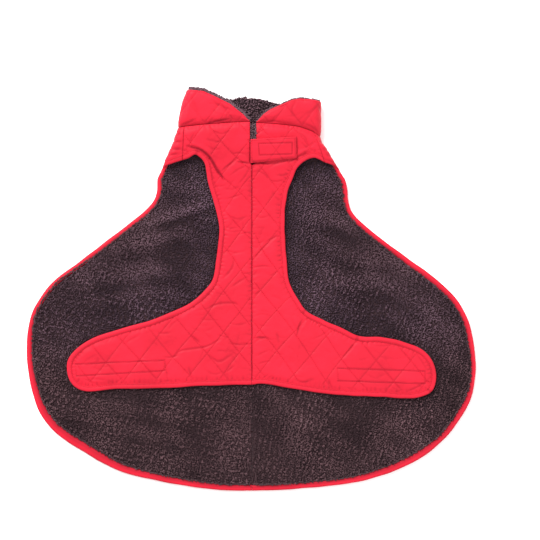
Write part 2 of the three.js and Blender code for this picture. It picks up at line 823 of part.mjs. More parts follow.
function tapeOutline(tape, margin) {
  const half = tapeWidth / 2 + margin;
  const yAt = (across) => tape.y + tape.slope * (across - tape.from);
  const from = tape.from - margin;
  const to = tape.to + margin;
  return outlineOf([
    flatPoint(from, yAt(from) - half), flatPoint(to, yAt(to) - half),
    flatPoint(to, yAt(to) + half), flatPoint(from, yAt(from) + half),
  ]);
}

// A tape, or the seat cut for it, between two depths below the cloth's outer face
function tapeBlock(side, tape, margin, outerDepth, innerDepth) {
  const outline = tapeOutline(tape, margin);
  return clothWall(outline, [], [], 0, (point, isOuter) => (
    layFront(side, point.x, point.y, isOuter ? outerDepth : innerDepth)
  ));
}

function chestPiece(side) {
  const innerStep = 26;
  const clearance = 4;
  const outline = chestOutline(side);
  const place = (point, isOuter) => {
    if (!isOuter) {
      return layFront(side, point.x, point.y, chestThickness);
    }
    const fromEdge = distanceToRun(point, outline, true);
    const fade = THREE.MathUtils.smoothstep(fromEdge, 0, quiltEdgeFade) * clearOfTab(side, point);
    const relief = quiltRelief(side.quiltOrigin, point.x, point.y, quiltPuff) * fade;
    return layFront(side, point.x, point.y, -relief);
  };
  const quilted = quiltPoints(outline, side.quiltOrigin);
  const wall = clothWall(outline, quilted, staggered(outline, innerStep), clearance, place);
  const seatTop = chestThickness - tapeSeatDepth;
  const seatEnd = chestThickness + seatOverrun;
  return cutFrom(wall, tapeBlock(side, side.tape, seamGap, seatTop, seatEnd));
}

function wingTape(side) {
  const top = chestThickness - tapeThickness;
  return tapeBlock(side, side.tape, 0, top, chestThickness);
}

// Collar: rows of points from the seam up to the free edge, round the whole half neck

// Height of the collar's free edge, found at the width that the neck has at that height
function collarTopY(side, around) {
  const rows = around < 1 ? side.collarFront : side.collarBack;
  const share = around < 1 ? around : 2 - around;
  const rounds = 4;
  let y = rows[rows.length - 1].y;
  for (let i = 0; i < rounds; i += 1) {
    y = tableValue(rows, 'across', 'y', Math.abs(share) * sectionAt(side, y).fold);
  }
  return y;
}

function collarWall(side, { backReach, rim, outerDepth, thickness, puff, ease }) {
  const quiltedWithin = 1.1;
  const quiltedBlend = 0.2;
  const lowFold = sectionAt(side, collarSeamY(side, 0)).fold;
  const frontEnd = side.collarFront[0].across / lowFold;
  const backStart = 2 - backReach / lowFold;
  const between = aroundStations(side).filter((around) => around < backStart && around > frontEnd);
  const shares = [backStart, ...between, frontEnd];
  const rowsAt = (depthAt) => Array.from({ length: collarRows + 1 }, (_, row) => (
    shares.map((around, column) => {
      const low = collarSeamY(side, around) + seamGap / 2;
      const high = Math.max(collarTopY(side, around), low + smallestCollar) + rim;
      const y = THREE.MathUtils.lerp(low, high, row / collarRows);
      const reach = column === 0 ? backReach : (2 - around) * sectionAt(side, y).fold;
      return lay(side, reach, y, depthAt(reach, y, row));
    })
  ));
  const outer = rowsAt((reach, y, row) => {
    const { fold } = sectionAt(side, y);
    const around = 2 - reach / fold;
    const atEdge = row === 0 || row === collarRows ? 0 : 1;
    const frontShare = THREE.MathUtils.clamp((quiltedWithin - around) / quiltedBlend, 0, 1);
    const relief = quiltRelief(side.collarQuiltOrigin, around * fold, y, puff) * atEdge * frontShare;
    return outerDepth - relief + ease * foldShare(side, reach, y);
  });
  const inner = rowsAt((reach, y) => outerDepth + thickness + ease * foldShare(side, reach, y));
  return rowWall(outer, inner);
}

function collarShell(side) {
  return collarWall(side, {
    backReach: seamGap / 2,
    rim: 0,
    outerDepth: 0,
    thickness: collarShellThickness,
    puff: collarPuff,
    ease: 0,
  });
}

function collarLining(side) {
  return collarWall(side, {
    backReach: side.sign * collarLiningSeam + seamGap / 2,
    rim: side.liningRim,
    outerDepth: collarShellThickness + seamGap,
    thickness: collarLiningThickness,
    puff: 0,
    ease: foldEase,
  });
}

// Pile facing in the neck opening, level with the two fronts
function placket() {
  const step = 9;
  const bottomClearance = 2;
  const topClearance = 0.6;
  const left = placketInset - openingLeftEdge;
  const right = openingRightEdge - placketInset;
  const low = openingBottom + bottomClearance;
  const high = collarSeamY(rightSide, 0) - topClearance;
  const corners = [
    flatPoint(left, low), flatPoint(right, low), flatPoint(right, high), flatPoint(left, high),
  ];
  const outline = closedOutline(corners, step);
  const outerDepth = seamGap;
  return clothWall(outline, [], [], 0, (point, isOuter) => (
    layFront(rightSide, point.x, point.y, isOuter ? outerDepth : outerDepth + placketThickness)
  ));
}

function neckTab() {
  const step = 8;
  const faceStep = 9;
  const innerStep = 16;
  const clearance = 3.5;
  const edgeFade = 5;
  const crown = 0.8;
  const outline = closedOutline(tabOutline, step);
  const place = (point, isOuter) => {
    const fade = THREE.MathUtils.smoothstep(distanceToRun(point, outline, true), 0, edgeFade);
    const risen = isOuter ? tabThickness + crown * fade : 0;
    return layFront(rightSide, point.x, point.y, -tabRelease - risen);
  };
  const facePoints = staggered(outline, faceStep);
  const wall = clothWall(outline, facePoints, staggered(outline, innerStep), clearance, place);
  const seatTop = -tabRelease - tapeSeatDepth;
  const seatEnd = -tabRelease + seatOverrun;
  return cutFrom(wall, tapeBlock(rightSide, tabTape, seamGap, seatTop, seatEnd));
}

function tabHookTape() {
  const under = -tabRelease;
  return tapeBlock(rightSide, tabTape, 0, under - tapeThickness, under);
}

// Assembly

const coat = new THREE.Group();

function add(name, geometry, finish) {
  const material = new THREE.MeshStandardMaterial({ ...finish, metalness: 0 });
  const mesh = new THREE.Mesh(geometry, material);
  mesh.name = name;
  coat.add(mesh);
}

for (const side of sides) {
  add(`back_shell_${side.name}`, backShell(side), finishes.shell);
  add(`back_lining_${side.name}`, backLining(side), finishes.pile);
  const backBinding = binding(side, backEdge(side), lay, 0, backThickness);
  add(`back_binding_${side.name}`, backBinding, finishes.binding);
  add(`chest_${side.name}`, chestPiece(side), finishes.shell);
  const chestBinding = binding(side, chestEdge(side), layFront, -bindingCrown, chestThickness);
  add(`chest_binding_${side.name}`, chestBinding, finishes.binding);
  add(`wing_tape_${side.name}`, wingTape(side), finishes.tape);
  add(`collar_${side.name}`, collarShell(side), finishes.shell);
  add(`collar_lining_${side.name}`, collarLining(side), finishes.pile);
}
add('placket', placket(), finishes.pile);
add('neck_tab', neckTab(), finishes.shell);
add('neck_tab_tape', tabHookTape(), finishes.tape);

// The origin is under the middle of the coat, on the surface that it lies on
const box = new THREE.Box3().setFromObject(coat);
const middle = box.getCenter(new THREE.Vector3());
coat.position.set(-middle.x, -middle.y, -box.min.z);
coat.updateMatrixWorld(true);

export default coat;
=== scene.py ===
import math

import bpy
import numpy as np
from mathutils.geometry import delaunay_2d_cdt
from mathutils.kdtree import KDTree
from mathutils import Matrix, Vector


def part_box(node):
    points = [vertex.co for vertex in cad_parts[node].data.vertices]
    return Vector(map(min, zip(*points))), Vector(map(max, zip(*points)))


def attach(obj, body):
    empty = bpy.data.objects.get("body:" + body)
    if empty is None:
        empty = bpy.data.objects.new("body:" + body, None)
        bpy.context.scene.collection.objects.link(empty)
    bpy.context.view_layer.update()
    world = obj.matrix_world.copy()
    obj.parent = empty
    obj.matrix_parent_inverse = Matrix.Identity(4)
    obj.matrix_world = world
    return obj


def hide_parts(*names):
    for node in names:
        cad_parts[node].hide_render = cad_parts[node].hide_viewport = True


# A dog's winter coat laid flat on its back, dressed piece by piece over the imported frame.
# Pattern sizes are in millimetres. "reach" runs along the cloth from the centre back, out round
# the side fold and back in over the front; "across" runs out from the centre front; y runs up.
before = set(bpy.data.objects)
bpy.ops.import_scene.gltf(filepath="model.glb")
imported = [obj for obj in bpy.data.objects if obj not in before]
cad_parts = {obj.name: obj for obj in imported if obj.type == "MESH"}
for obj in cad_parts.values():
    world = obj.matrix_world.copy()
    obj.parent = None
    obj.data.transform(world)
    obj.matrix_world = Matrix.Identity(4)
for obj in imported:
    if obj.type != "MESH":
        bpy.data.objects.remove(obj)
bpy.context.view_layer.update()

MM = 0.001
SIDES = ("left", "right")
SIGN = {"left": -1, "right": 1}
HEM_Y = -300.7

# Cloth
SEAM_GAP = 0.3
SHELL_THICKNESS = 2.0
LINING_BASE = 2.3
LINING_FACE = 5.2
CHEST_THICKNESS = 4.5
COLLAR_THICKNESS = 2.5
COLLAR_LINING_THICKNESS = 2.6
FOLD_EASE = 0.8
BINDING_WIDTH = 7.5
BINDING_DEPTH = 6.3
TUCKED = 2.0
TUCKED_DEPTH = 0.55
SEAM_TURN = 16

# Half the cloth's way round the neck, a reach past every edge, and heights on the back panel
NECK_REACH = 118
PAST_EDGE = 400
FOLD_MESH_LOW = 160
FOLD_MESH_HIGH = 250
PILE_TOP = 205

# Quilting
QUILT_WIDE = 48
QUILT_TALL = 60
QUILT_PUFF = 1.0
QUILT_STEPS = 28
STITCH_PITCH = 3.1
STITCH_LENGTH = 2.3
THREAD_RADIUS = 0.3

# Creases
CREASE_STRENGTH = 1.15
CREASE_WIDTH = 0.72
WRINKLES = 130
# Painted shade in the creases, per millimetre of their depth
CREASE_SHADE = 0.42
GATHERED = 7.0

# Neck
SEAM_DIP = 3.0
SEAM_WIDTH = 7.0
OPENING_BOTTOM = 188
OPENING_EDGE = {"left": 3.0, "right": 6.5}

# Pile
TUFT_PITCH = 2.6
TUFT_HEIGHT = 3.0
TUFT_RADIUS = 1.32

# Colours, linear
RED = (0.49, 0.0095, 0.0255)
# The darker red below is painted shade, mixed into the cloth along stitch lines, creases, seams, puckers
# and the binding's inner side
SHADE_RED = (0.22, 0.003, 0.012)
BINDING_RED = (0.49, 0.0095, 0.0255)
THREAD_RED = (0.50, 0.008, 0.025)
PILE_LIGHT = (0.126, 0.067, 0.076)
# The pile's dark tone is partly painted shade at the locks' feet; its crest tone, at the tips of the
# lightest locks, is partly painted light on fold tops
PILE_DARK = (0.0088, 0.0046, 0.0064)
PILE_CREST = (0.198, 0.121, 0.136)
# Painted shade: a bluish cast multiplied into the pile, strongest where the chest piece shades the
# lining
PILE_SHADE_TINT = (0.95, 1.05, 1.32)


def table(names, rows):
    """Named columns of a short table, one row for each section or point."""
    return dict(zip(names.split(), np.array(rows, float).T))


# The flattened neck tube, from the collar's top down to where the panel lies flat
NECK = table("y left right height", [
    (-310, 400, 400, 11.1),
    (118, 400, 400, 11.1),
    (150, 190, 190, 13),
    (171, 152, 147, 15),
    (183, 134.5, 129.5, 16.5),
    (195, 130, 122, 17.8),
    (207, 124.5, 115, 19.5),
    (225, 117, 104.5, 22),
    (248, 111, 103, 24.5),
    (261, 108, 103, 26),
    (285, 102, 103.5, 27),
    (297, 98, 103.5, 27),
    (310, 95, 103, 27),
])

# Height of the collar seam round the neck: 0 centre front, 1 side fold, 2 centre back
COLLAR_SEAM = table("around left right", [
    (0, 251.3, 249.6),
    (0.6, 247.2, 244.5),
    (0.78, 245, 238.5),
    (1, 242.5, 229),
    (1.3, 243, 238),
    (2, 243, 243),
])

QUILT_ORIGIN = {"left": (16.5, -31), "right": (15, 2)}
COLLAR_QUILT_ORIGIN = {"left": (71, 250), "right": (75, 246)}
TAB_QUILT_ORIGIN = (36, 210)

# How far the stitch lines lie from their even lattice, in lattice steps of the two line
# families, at a few places on the chest piece
QUILT_DRIFT = {
    "left": table("across y a b", [
        (216.7, -105.3, -0.07, 0.50),
        (167.7, -107.3, -0.12, 0.43),
        (143.0, -71.8, -0.04, 0.32),
        (116.7, -99.4, -0.05, 0.27),
        (92.0, -67.5, -0.04, 0.18),
        (67.7, -95.5, 0.00, 0.14),
        (66.7, -33.7, 0.00, 0.09),
        (42.2, -63.0, -0.02, 0.05),
        (42.2, -1.0, 0.03, 0.03),
        (15.2, 93.1, 0.00, -0.10),
        (40.1, 119.0, 0.00, 0.00),
        (1.8, 135.2, 0.00, -0.08),
        (1.8, 175.4, 0.13, 0.20),
        (38.2, 162.0, 0.05, 0.24),
        (19.0, 192.6, 0.00, 0.33),
        (48.7, 224.1, -0.08, 0.42),
        (56.4, 204.0, -0.20, 0.42),
        (80.0, 228.0, -0.36, 0.40),
    ]),
    "right": table("across y a b", [
        (1.3, 14.3, -0.08, 0.00),
        (37.5, -28.8, -0.05, 0.00),
        (57.1, -9.2, -0.07, 0.06),
        (62.1, -62.2, -0.09, 0.10),
        (15.0, -56.3, -0.10, -0.03),
        (36.6, -91.6, -0.11, 0.01),
        (84.6, -99.4, -0.20, 0.14),
        (105.2, -58.2, -0.12, 0.20),
        (118.9, -146.5, -0.31, 0.30),
        (134.6, -105.3, -0.30, 0.28),
        (162.0, -75.9, -0.24, 0.30),
        (185.6, -105.3, -0.23, 0.34),
        (218.9, -85.7, -0.21, 0.38),
        (201.3, -150.4, -0.20, 0.42),
        (244.4, -98.4, -0.20, 0.45),
        (260.1, -134.7, -0.17, 0.45),
        (20.1, 126.5, 0.18, 0.03),
        (40.2, 144.7, -0.10, 0.00),
        (13.5, 183.0, 0.00, -0.05),
    ]),
}
DRIFT_SPREAD = 26

# Shoulder seam, as (across, y) at its lower and upper end
SHOULDER_SEAM = {"left": ((103.5, 194.3), (101.4, 244)), "right": ((108.5, 190.8), (94.5, 235))}
SHOULDER_EDGE = {"left": ((120, 189),), "right": ()}
FOLD_Y = 183

# Outer edge of the back panel, (across, y) from the armhole to the centre of the hem
HEM = {
    "left": (
        (138, 176), (141.5, 166), (142, 150), (147, 135), (159, 120), (177, 105), (216, 75),
        (255, 45), (295.5, 15), (319.5, -15), (333, -45), (337.5, -97), (333, -135),
        (319.5, -180), (298.5, -210), (256.5, -240), (201, -270), (145.5, -285),
        (49.5, -299.5), (0, -300.7),
    ),
    "right": (
        (134, 175), (139.5, 165), (143, 150), (144, 135), (148.5, 120), (160.5, 105),
        (196.5, 75), (237, 45), (277.5, 15), (307.5, -15), (324, -45), (333.7, -90),
        (334.5, -130), (327, -165), (310.5, -195), (286.5, -225), (247.5, -255),
        (169.5, -285), (60, -298.5), (0, -300.7),
    ),
}

# Outer edge of the chest piece, (across, y) from the shoulder seam round the wing
CHEST_EDGE = {
    "left": (
        (103.5, 194.3), (95, 197), (85, 202.5), (76, 197), (70.5, 189), (68.3, 177), (66, 162),
        (57.8, 135), (50.3, 105), (48.8, 90), (50.3, 72), (53.3, 45), (59.3, 15), (69.8, 0),
        (86.3, -15), (113.3, -30), (150.8, -45), (203.3, -60), (243.8, -75), (264.8, -90),
        (275.3, -105), (276.8, -120), (273, -135), (263.9, -145.5), (248.4, -151.2),
        (200, -147.9), (134, -146.7), (68, -143), (0, -141.6),
    ),
    "right": (
        (108.5, 190.8), (101, 195), (93, 197.5), (82, 194.5), (73.5, 189), (67.5, 182),
        (61, 168), (54, 150), (50.3, 127.5), (48.8, 102), (49.5, 75), (51.8, 45), (54.8, 15),
        (60.8, 0), (69.8, -15), (80.3, -30), (107.3, -45), (140.3, -60), (158.7, -68.5),
        (195, -70.8), (225, -77), (255.8, -90), (269.3, -105), (275, -122), (274.5, -139),
        (267.6, -153), (245.7, -161.4), (195, -159.9), (115.8, -155.6), (63, -147.9),
        (16.8, -140), (0, -141.6),
    ),
}

# Free edge of the collar, (across, y) from the centre out to the side fold
COLLAR_FRONT = {
    "left": ((3.3, 251.7), (12.5, 261.8), (32.4, 277.8), (56.6, 289.8), (72.6, 296.9), (98, 299.3)),
    "right": ((6.8, 250.7), (17.7, 262.7), (27.8, 269.7), (43.8, 276.8), (60, 283.8),
              (72, 285.8), (88, 284.3), (103, 282.3)),
}
COLLAR_BACK = {
    "left": ((0, 287), (12, 285.5), (29.4, 281.5), (55, 285), (98, 298)),
    "right": ((0, 287), (17.7, 284), (31.8, 280), (44, 276.5), (103, 281)),
}
COLLAR_LINING_SEAM = -8

# The part of the collar's front that small wrinkles cross
COLLAR_FACE = ((4, 246), (104, 246), (104, 292), (60, 288), (4, 256))
COLLAR_WRINKLES = 16

# Millimetres that the collar's lining stands above its shell, and how much painted light lightens its
# rim
LINING_RIM = {"left": 3.5, "right": 1.0}
FLAP_RIM_PAINTED_LIGHT = {"left": 0.1, "right": 0.0}

# Millimetres of the back panel's binding that show beside the pile, at heights up the coat
BINDING_SHOWN = table("y left right", [
    (-301, 7.5, 7.2), (-276, 10.0, 9.2), (-250, 12.0, 10.4), (-224, 11.8, 7.8), (-186, 10.2, 8.2),
    (-133, 8.3, 5.8), (-75, 7.0, 7.2), (-17, 3.6, 7.5), (32, 3.6, 7.6), (67, 5.4, 6.2),
    (118, 5.0, 5.5), (190, 6.0, 6.5),
])
TAPE_UNDER_PILE = 1.2

TAB_CORNERS = ((-2.2, 189.4), (66.8, 197), (66.2, 229.2), (-2.2, 225))
TAB_BOX = ((9.9, 218.4), (60.3, 219.8), (59.9, 203), (11.1, 201.3))
TAB_THICKNESS = 3.2
TAB_RELEASE = 0.6
BINDING_PINCHES = {"left": ((83, 202),), "right": ((80.3, -30), (158.7, -68.5), (268, -153))}
WING_BOX = {
    "left": ((264, -111), (130.5, -105), (130.5, -120.8), (262.5, -128.7)),
    "right": ((128, -117), (258.9, -121.4), (258.9, -140.1), (129, -135.8)),
}

# Soft folds in the pile lining: from, to, height, width
LINING_FOLDS = {
    "left": (
        ((150, 100), (60, 131), 4.2, 7), ((205, 62), (84, 88), 2.4, 13),
        ((268, 8), (112, 34), 2.4, 15), ((240, -20), (150, -2), 1.8, 12),
        ((296, -172), (178, -206), 1.8, 16), ((130, 160), (84, 150), 1.6, 10),
        ((150, -182), (60, -196), 1.4, 13), ((306, -60), (300, -140), 1.6, 12),
    ),
    "right": (
        ((150, 92), (70, 112), 2.2, 11), ((236, 4), (100, 12), 2.2, 15),
        ((300, -118), (312, -8), 2.0, 12), ((196, 40), (120, 52), 1.6, 12),
        ((160, -186), (70, -204), 1.5, 14), ((280, -180), (190, -214), 1.8, 15),
        ((110, 165), (84, 140), 1.5, 9),
    ),
}

# Main creases of the chest piece: path, depth (below 0 is a ridge) and width
CHEST_CREASES = {
    "left": (
        (((97, 215), (88, 212.5), (77, 209), (67, 202), (59, 192), (52.5, 180), (46, 171),
          (41, 164)), 3.6, 2.4),
        (((96, 218), (82, 215.5), (71, 209), (62, 199), (54, 187)), -1.0, 4),
        (((66, 186), (60, 174), (56, 160), (50, 146)), 0.9, 1.6),
        (((70.7, 225), (56, 222), (45.9, 219.3)), 0.6, 2.4),
        (((22, 191.5), (12, 190.2), (2, 188.7)), 1.6, 2.2),
        (((46, 177), (35, 186), (28.6, 190.6), (19, 199)), 1.1, 2.6),
        (((34, 170), (20, 180), (6, 187)), 0.8, 2.4),
        (((30, 203), (16, 204), (4, 200)), 0.7, 2.2),
        (((20, 158), (10, 170), (3, 184)), 0.8, 2.2),
        (((44, 152), (30, 150), (16, 156)), 0.5, 3),
        (((60, 238), (46, 233), (34, 236)), 0.6, 2.2),
        (((84, 236), (90, 226), (92, 216)), 0.6, 2.6),
        (((30.4, 4.5), (18, 13), (6.9, 19.2)), 1.0, 2.2),
        (((67.7, -28.8), (50, -21), (26.5, -20), (18.7, -23)), 1.1, 2.4),
        (((116, -101), (108, -92), (88, -88), (68, -84.6), (46, -73)), 1.1, 2.4),
        (((91.2, -68), (84, -74), (77.5, -79.8)), 0.9, 2.4),
        (((61.8, -99.4), (50, -107.3), (28.5, -95.5)), 0.9, 2.6),
        (((95.1, -115), (93, -122), (91.2, -130)), 1.0, 2.4),
        (((12.8, 24), (6, 24.4), (1, 23)), 0.9, 1.8),
        (((34.3, -79.8), (18, -82), (3, -81.8)), 0.9, 2.0),
        (((130.4, -103), (128, -120), (125.5, -137)), 1.0, 2.2),
        (((140.2, -65), (129, -65), (118.7, -63)), 0.6, 2.2),
        (((186, -78), (176, -72), (165.7, -64)), 0.5, 2.4),
        (((42, 60), (24, 56), (6, 60)), 0.6, 2.2),
        (((36, 112), (22, 106), (6, 110)), 0.6, 2.2),
        (((34, -50), (20, -52), (4, -48)), 0.7, 2.0),
        (((110, -98), (122, -101), (134, -100)), 0.8, 2.0),
        (((44, 88), (34, 96), (26, 108)), 0.5, 2.6),
        (((27, 47), (28, 38), (33, 28), (44, 17)), 1.3, 2.6),
        (((48, 60), (49, 44), (46, 28)), 0.8, 2.8),
        (((42, 136), (30, 138), (14, 144)), 0.7, 2.2),
        (((40, 94), (30, 92), (20, 94)), 0.6, 2.0),
        (((39, 88), (28, 87), (16, 88)), 0.5, 2.0),
        (((54, -92), (46, -91), (37, -92)), 0.7, 2.2),
        (((38, -122), (33, -119), (27, -113)), 0.8, 2.2),
        (((230, -96), (246, -104), (258, -116)), 0.5, 2.2),
        (((72, -118), (58, -126), (44, -124)), 0.6, 2.4),
    ),
    "right": (
        (((2, 189), (14, 190), (24.9, 188.7), (38, 190.6)), 1.7, 2.0),
        (((55, 194), (38.3, 189.7), (24.9, 183)), 1.2, 2.2),
        (((86, 204), (67, 198.3), (55.5, 191)), 1.3, 2.6),
        (((90, 212), (76, 207), (62, 199)), -0.9, 4),
        (((54, 172.5), (46, 171), (36, 171.5)), 0.8, 2.2),
        (((28.8, 162.9), (38, 162), (47, 163.8)), 0.7, 2.0),
        (((6, 231), (13.5, 237)), 1.0, 1.8),
        (((8, 178), (20, 172), (30, 160)), 0.7, 2.2),
        (((70, 236), (80, 226), (84, 214)), 0.7, 2.6),
        (((72, 222), (80, 214), (90, 208)), 0.6, 2.4),
        (((3.2, -72), (13, -71), (27, -73)), 1.2, 2.0),
        (((3, -80), (10, -74), (22, -70)), 0.8, 2.0),
        (((5.2, -99.4), (14, -95), (25, -89.6)), 0.8, 2.2),
        (((9.1, -111), (18, -108), (27, -107)), 0.7, 2.2),
        (((75, -44), (70.5, -56), (67, -70)), 1.5, 2.4),
        (((83, -40), (80, -52), (74, -60)), -0.7, 3),
        (((36.6, -62), (39, -71), (41, -80)), 0.8, 2.4),
        (((158.5, -72), (148, -87), (134.6, -103)), 1.1, 2.2),
        (((234.6, -151), (246, -146), (259, -138.6)), 0.9, 2.2),
        (((113, -133), (117, -141), (121, -149)), 0.8, 2.2),
        (((3.2, -9), (8, -5), (13, 0)), 0.7, 2.0),
        (((1, 45), (16, 62), (39, 84)), 1.0, 2.2),
        (((1, 33), (14, 35.6), (28, 35)), 1.2, 2.0),
        (((1, 21), (4, 24), (8, 29)), 1.1, 2.0),
        (((18, 70), (28, 76), (40, 80)), 0.6, 2.2),
        (((5, 92), (12, 93), (20, 92)), 0.5, 2.0),
        (((3, 112), (14, 108), (28, 112)), 0.6, 2.2),
        (((40, 30), (30, 22), (20, 26)), 0.5, 2.4),
        (((118, -58), (104, -68), (88, -74)), 0.6, 2.6),
        (((3, -40), (16, -36), (30, -40)), 0.6, 2.0),
        (((174, -82), (196, -84), (214, -80)), 0.5, 2.4),
        (((246, -96), (254, -106), (262, -120)), 0.8, 2.2),
        (((60, -132), (76, -138), (92, -134)), 0.6, 2.4),
        (((44, 132), (34, 140), (30, 150)), 0.6, 2.2),
    ),
}

# Wrinkles of the shoulders, where the back panel comes round to the front, in the same columns
SHOULDER_CREASES = {
    "left": (
        (((128, 237), (117, 234), (105, 232)), 1.6, 2.6),
        (((130, 226), (118, 222), (104, 221)), 1.8, 2.4),
        (((132, 214), (120, 211), (104, 210)), 1.8, 2.6),
        (((134, 203), (122, 202), (108, 204)), 1.4, 2.4),
    ),
    "right": (
        (((122, 222), (112, 220), (100, 222)), 1.4, 2.6),
        (((126, 208), (116, 209), (104, 212)), 1.5, 2.4),
        (((130, 198), (120, 200), (110, 203)), 1.2, 2.4),
    ),
}

# Creases of the collar's face, in the same columns
COLLAR_CREASES = {
    "left": (
        (((70, 247.5), (54, 251.5), (44, 253.6), (33, 255)), 1.7, 1.7),
        (((106, 247), (94, 250), (84, 255)), 0.9, 2.2),
        (((92, 290), (84, 274), (78, 262)), 0.6, 3),
        (((60, 284), (46, 274), (30, 268)), 0.7, 3),
        (((24, 262), (36, 262), (48, 266)), -0.6, 4),
    ),
    "right": (
        (((16, 250.5), (32, 252), (44, 250)), 0.7, 1.8),
        (((102, 234), (90, 243), (78, 248)), 0.9, 2.2),
        (((66, 282), (60, 270), (62, 258)), 0.6, 3),
        (((98, 276), (88, 266), (80, 262)), 0.6, 3),
        (((24, 258), (36, 262), (46, 270)), -0.6, 4),
    ),
}


# Where the frame has put the coat's centre line and its hem

def coat_shift():
    """Metres from the pattern's origin to the frame's."""
    left_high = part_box("chest_left")[1]
    right_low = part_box("chest_right")[0]
    hem_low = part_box("back_binding_left")[0]
    return (left_high.x + right_low.x) / 2, hem_low.y - HEM_Y * MM


SHIFT_X, SHIFT_Y = coat_shift()


# Pattern to place

def monotone(at, xs, ys):
    """A smooth curve through a table's points that never passes them, as the cloth hangs."""
    steps = np.diff(xs)
    slopes = np.diff(ys) / steps
    tangents = np.zeros(len(xs))
    same = slopes[1:] * slopes[:-1] > 0
    safe = np.where(same, slopes[1:] + slopes[:-1], 1.0)
    tangents[1:-1] = np.where(same, 2 * slopes[1:] * slopes[:-1] / safe, 0.0)
    clipped = np.clip(at, xs[0], xs[-1])
    low = np.clip(np.searchsorted(xs, clipped, side="right") - 1, 0, len(xs) - 2)
    t = (clipped - xs[low]) / steps[low]
    square, cube = t * t, t * t * t
    return (
        (2 * cube - 3 * square + 1) * ys[low]
        + (cube - 2 * square + t) * steps[low] * tangents[low]
        + (3 * square - 2 * cube) * ys[low + 1]
        + (cube - square) * steps[low] * tangents[low + 1]
    )


def smoothstep(value, low, high):
    share = np.clip((value - low) / (high - low), 0, 1)
    return share * share * (3 - 2 * share)


def section(side, y):
    """The neck tube's fold radius, flat half-width and fold reach at a height."""
    radius = monotone(y, NECK["y"], NECK["height"]) / 2
    flat = monotone(y, NECK["y"], NECK[side]) - radius
    return radius, flat, flat + math.pi * radius / 2


def seam_y(side, around):
    return monotone(np.abs(around), COLLAR_SEAM["around"], COLLAR_SEAM[side])


def front_reach(side, across, y):
    return 2 * section(side, y)[2] - across


def lay(side, reach, y, depth):
    """Places, in millimetres, of pattern points a depth below the cloth's outer face."""
    radius, flat, fold = section(side, y)
    turn = np.clip((reach - flat) / radius, 0, math.pi)
    front = (1 - np.cos(turn)) / 2
    from_seam = (y - seam_y(side, 2 - reach / fold)) / SEAM_WIDTH
    arm = radius - depth - SEAM_DIP * np.exp(-from_seam**2) * front
    along = np.minimum(reach, flat) - np.maximum(0, reach - flat - math.pi * radius)
    x = SIGN[side] * (along + np.sin(turn) * arm)
    return np.stack([x, y + 0 * x, radius - np.cos(turn) * arm], axis=-1)


def lay_front(side, across, y, depth):
    return lay(side, front_reach(side, across, y), y, depth)


def fold_share(side, reach, y):
    radius, flat, _ = section(side, y)
    return np.sin(np.clip((reach - flat) / radius, 0, math.pi))


# Runs and outlines in the flat

def smooth_run(points, step):
    """Points a step apart along a centripetal Catmull-Rom curve through the ones given."""
    samples = 40
    points = np.array(points, float)
    ends = np.vstack([2 * points[0] - points[1], points, 2 * points[-1] - points[-2]])
    t = np.linspace(0, 1, samples, endpoint=False)[:, None]
    fine = []
    for p0, p1, p2, p3 in zip(ends, ends[1:], ends[2:], ends[3:]):
        d0, d1, d2 = (math.sqrt(np.linalg.norm(b - a)) for a, b in ((p0, p1), (p1, p2), (p2, p3)))
        m1 = ((p1 - p0) / d0 - (p2 - p0) / (d0 + d1) + (p2 - p1) / d1) * d1
        m2 = ((p2 - p1) / d1 - (p3 - p1) / (d1 + d2) + (p3 - p2) / d2) * d1
        fine.append(
            (2 * t**3 - 3 * t**2 + 1) * p1 + (t**3 - 2 * t**2 + t) * m1
            + (3 * t**2 - 2 * t**3) * p2 + (t**3 - t**2) * m2
        )
    return even_run(np.vstack([*fine, points[-1:]]), step)


def even_run(points, step):
    """The same line with its points a step apart."""
    points = np.array(points, float)
    lengths = np.linalg.norm(np.diff(points, axis=0), axis=1)
    along = np.concatenate([[0], np.cumsum(lengths)])
    count = max(1, round(along[-1] / step))
    wanted = np.linspace(0, along[-1], count + 1)
    return np.column_stack([np.interp(wanted, along, points[:, k]) for k in range(2)])


def edge_of(run, start):
    """A run and the vectors across it, towards the cloth on its right-hand side."""
    ahead = np.vstack([run[1:], run[-1:]])
    behind = np.vstack([run[:1], run[:-1]])
    across = np.column_stack([ahead[:, 1] - behind[:, 1], behind[:, 0] - ahead[:, 0]])
    across /= np.linalg.norm(across, axis=1)[:, None]
    share = np.clip(np.linalg.norm(run - run[0], axis=1) / SEAM_TURN, 0, 1)[:, None]
    inward = start + (across - start) * share
    inward[-1] = (0, 1)
    return run, inward


def closed(outline, step):
    """The run all round an outline, its points a step apart."""
    return even_run(np.vstack([outline, outline[:1]]), step)


def near(points, run):
    """Distance from each point to a run, and the index of the run's nearest point."""
    tree = KDTree(len(run))
    for i, (x, y) in enumerate(run):
        tree.insert((x, y, 0), i)
    tree.balance()
    found = [tree.find((x, y, 0)) for x, y in points]
    return np.array([f[2] for f in found]), np.array([f[1] for f in found])


def inset(edge, distance):
    """The edge moved into the cloth, without the points that a tight bend crowds together."""
    run, inward = edge
    moved = run + inward * distance
    apart, _ = near(moved, even_run(run, 0.5))
    starting = np.linalg.norm(run - run[0], axis=1) < SEAM_TURN
    return moved[starting | (apart > distance - 0.12)]


def is_inside(points, outline):
    """Whether each point lies inside a closed outline."""
    inside = np.zeros(len(points), bool)
    x, y = points[:, 0], points[:, 1]
    for (ax, ay), (bx, by) in zip(outline, np.roll(outline, -1, axis=0)):
        if ay == by:
            continue
        crosses = (ay > y) != (by > y)
        inside ^= crosses & (x < (bx - ax) * (y - ay) / (by - ay) + ax)
    return inside


def outline_of(*runs):
    """Runs joined into one closed outline, anticlockwise, without doubled points."""
    points = np.vstack(runs)
    keep = np.linalg.norm(points - np.roll(points, 1, axis=0), axis=1) > 0.25
    points = points[keep]
    x, y = points.T
    area = np.sum(x * np.roll(y, -1) - np.roll(x, -1) * y)
    return points if area > 0 else points[::-1]


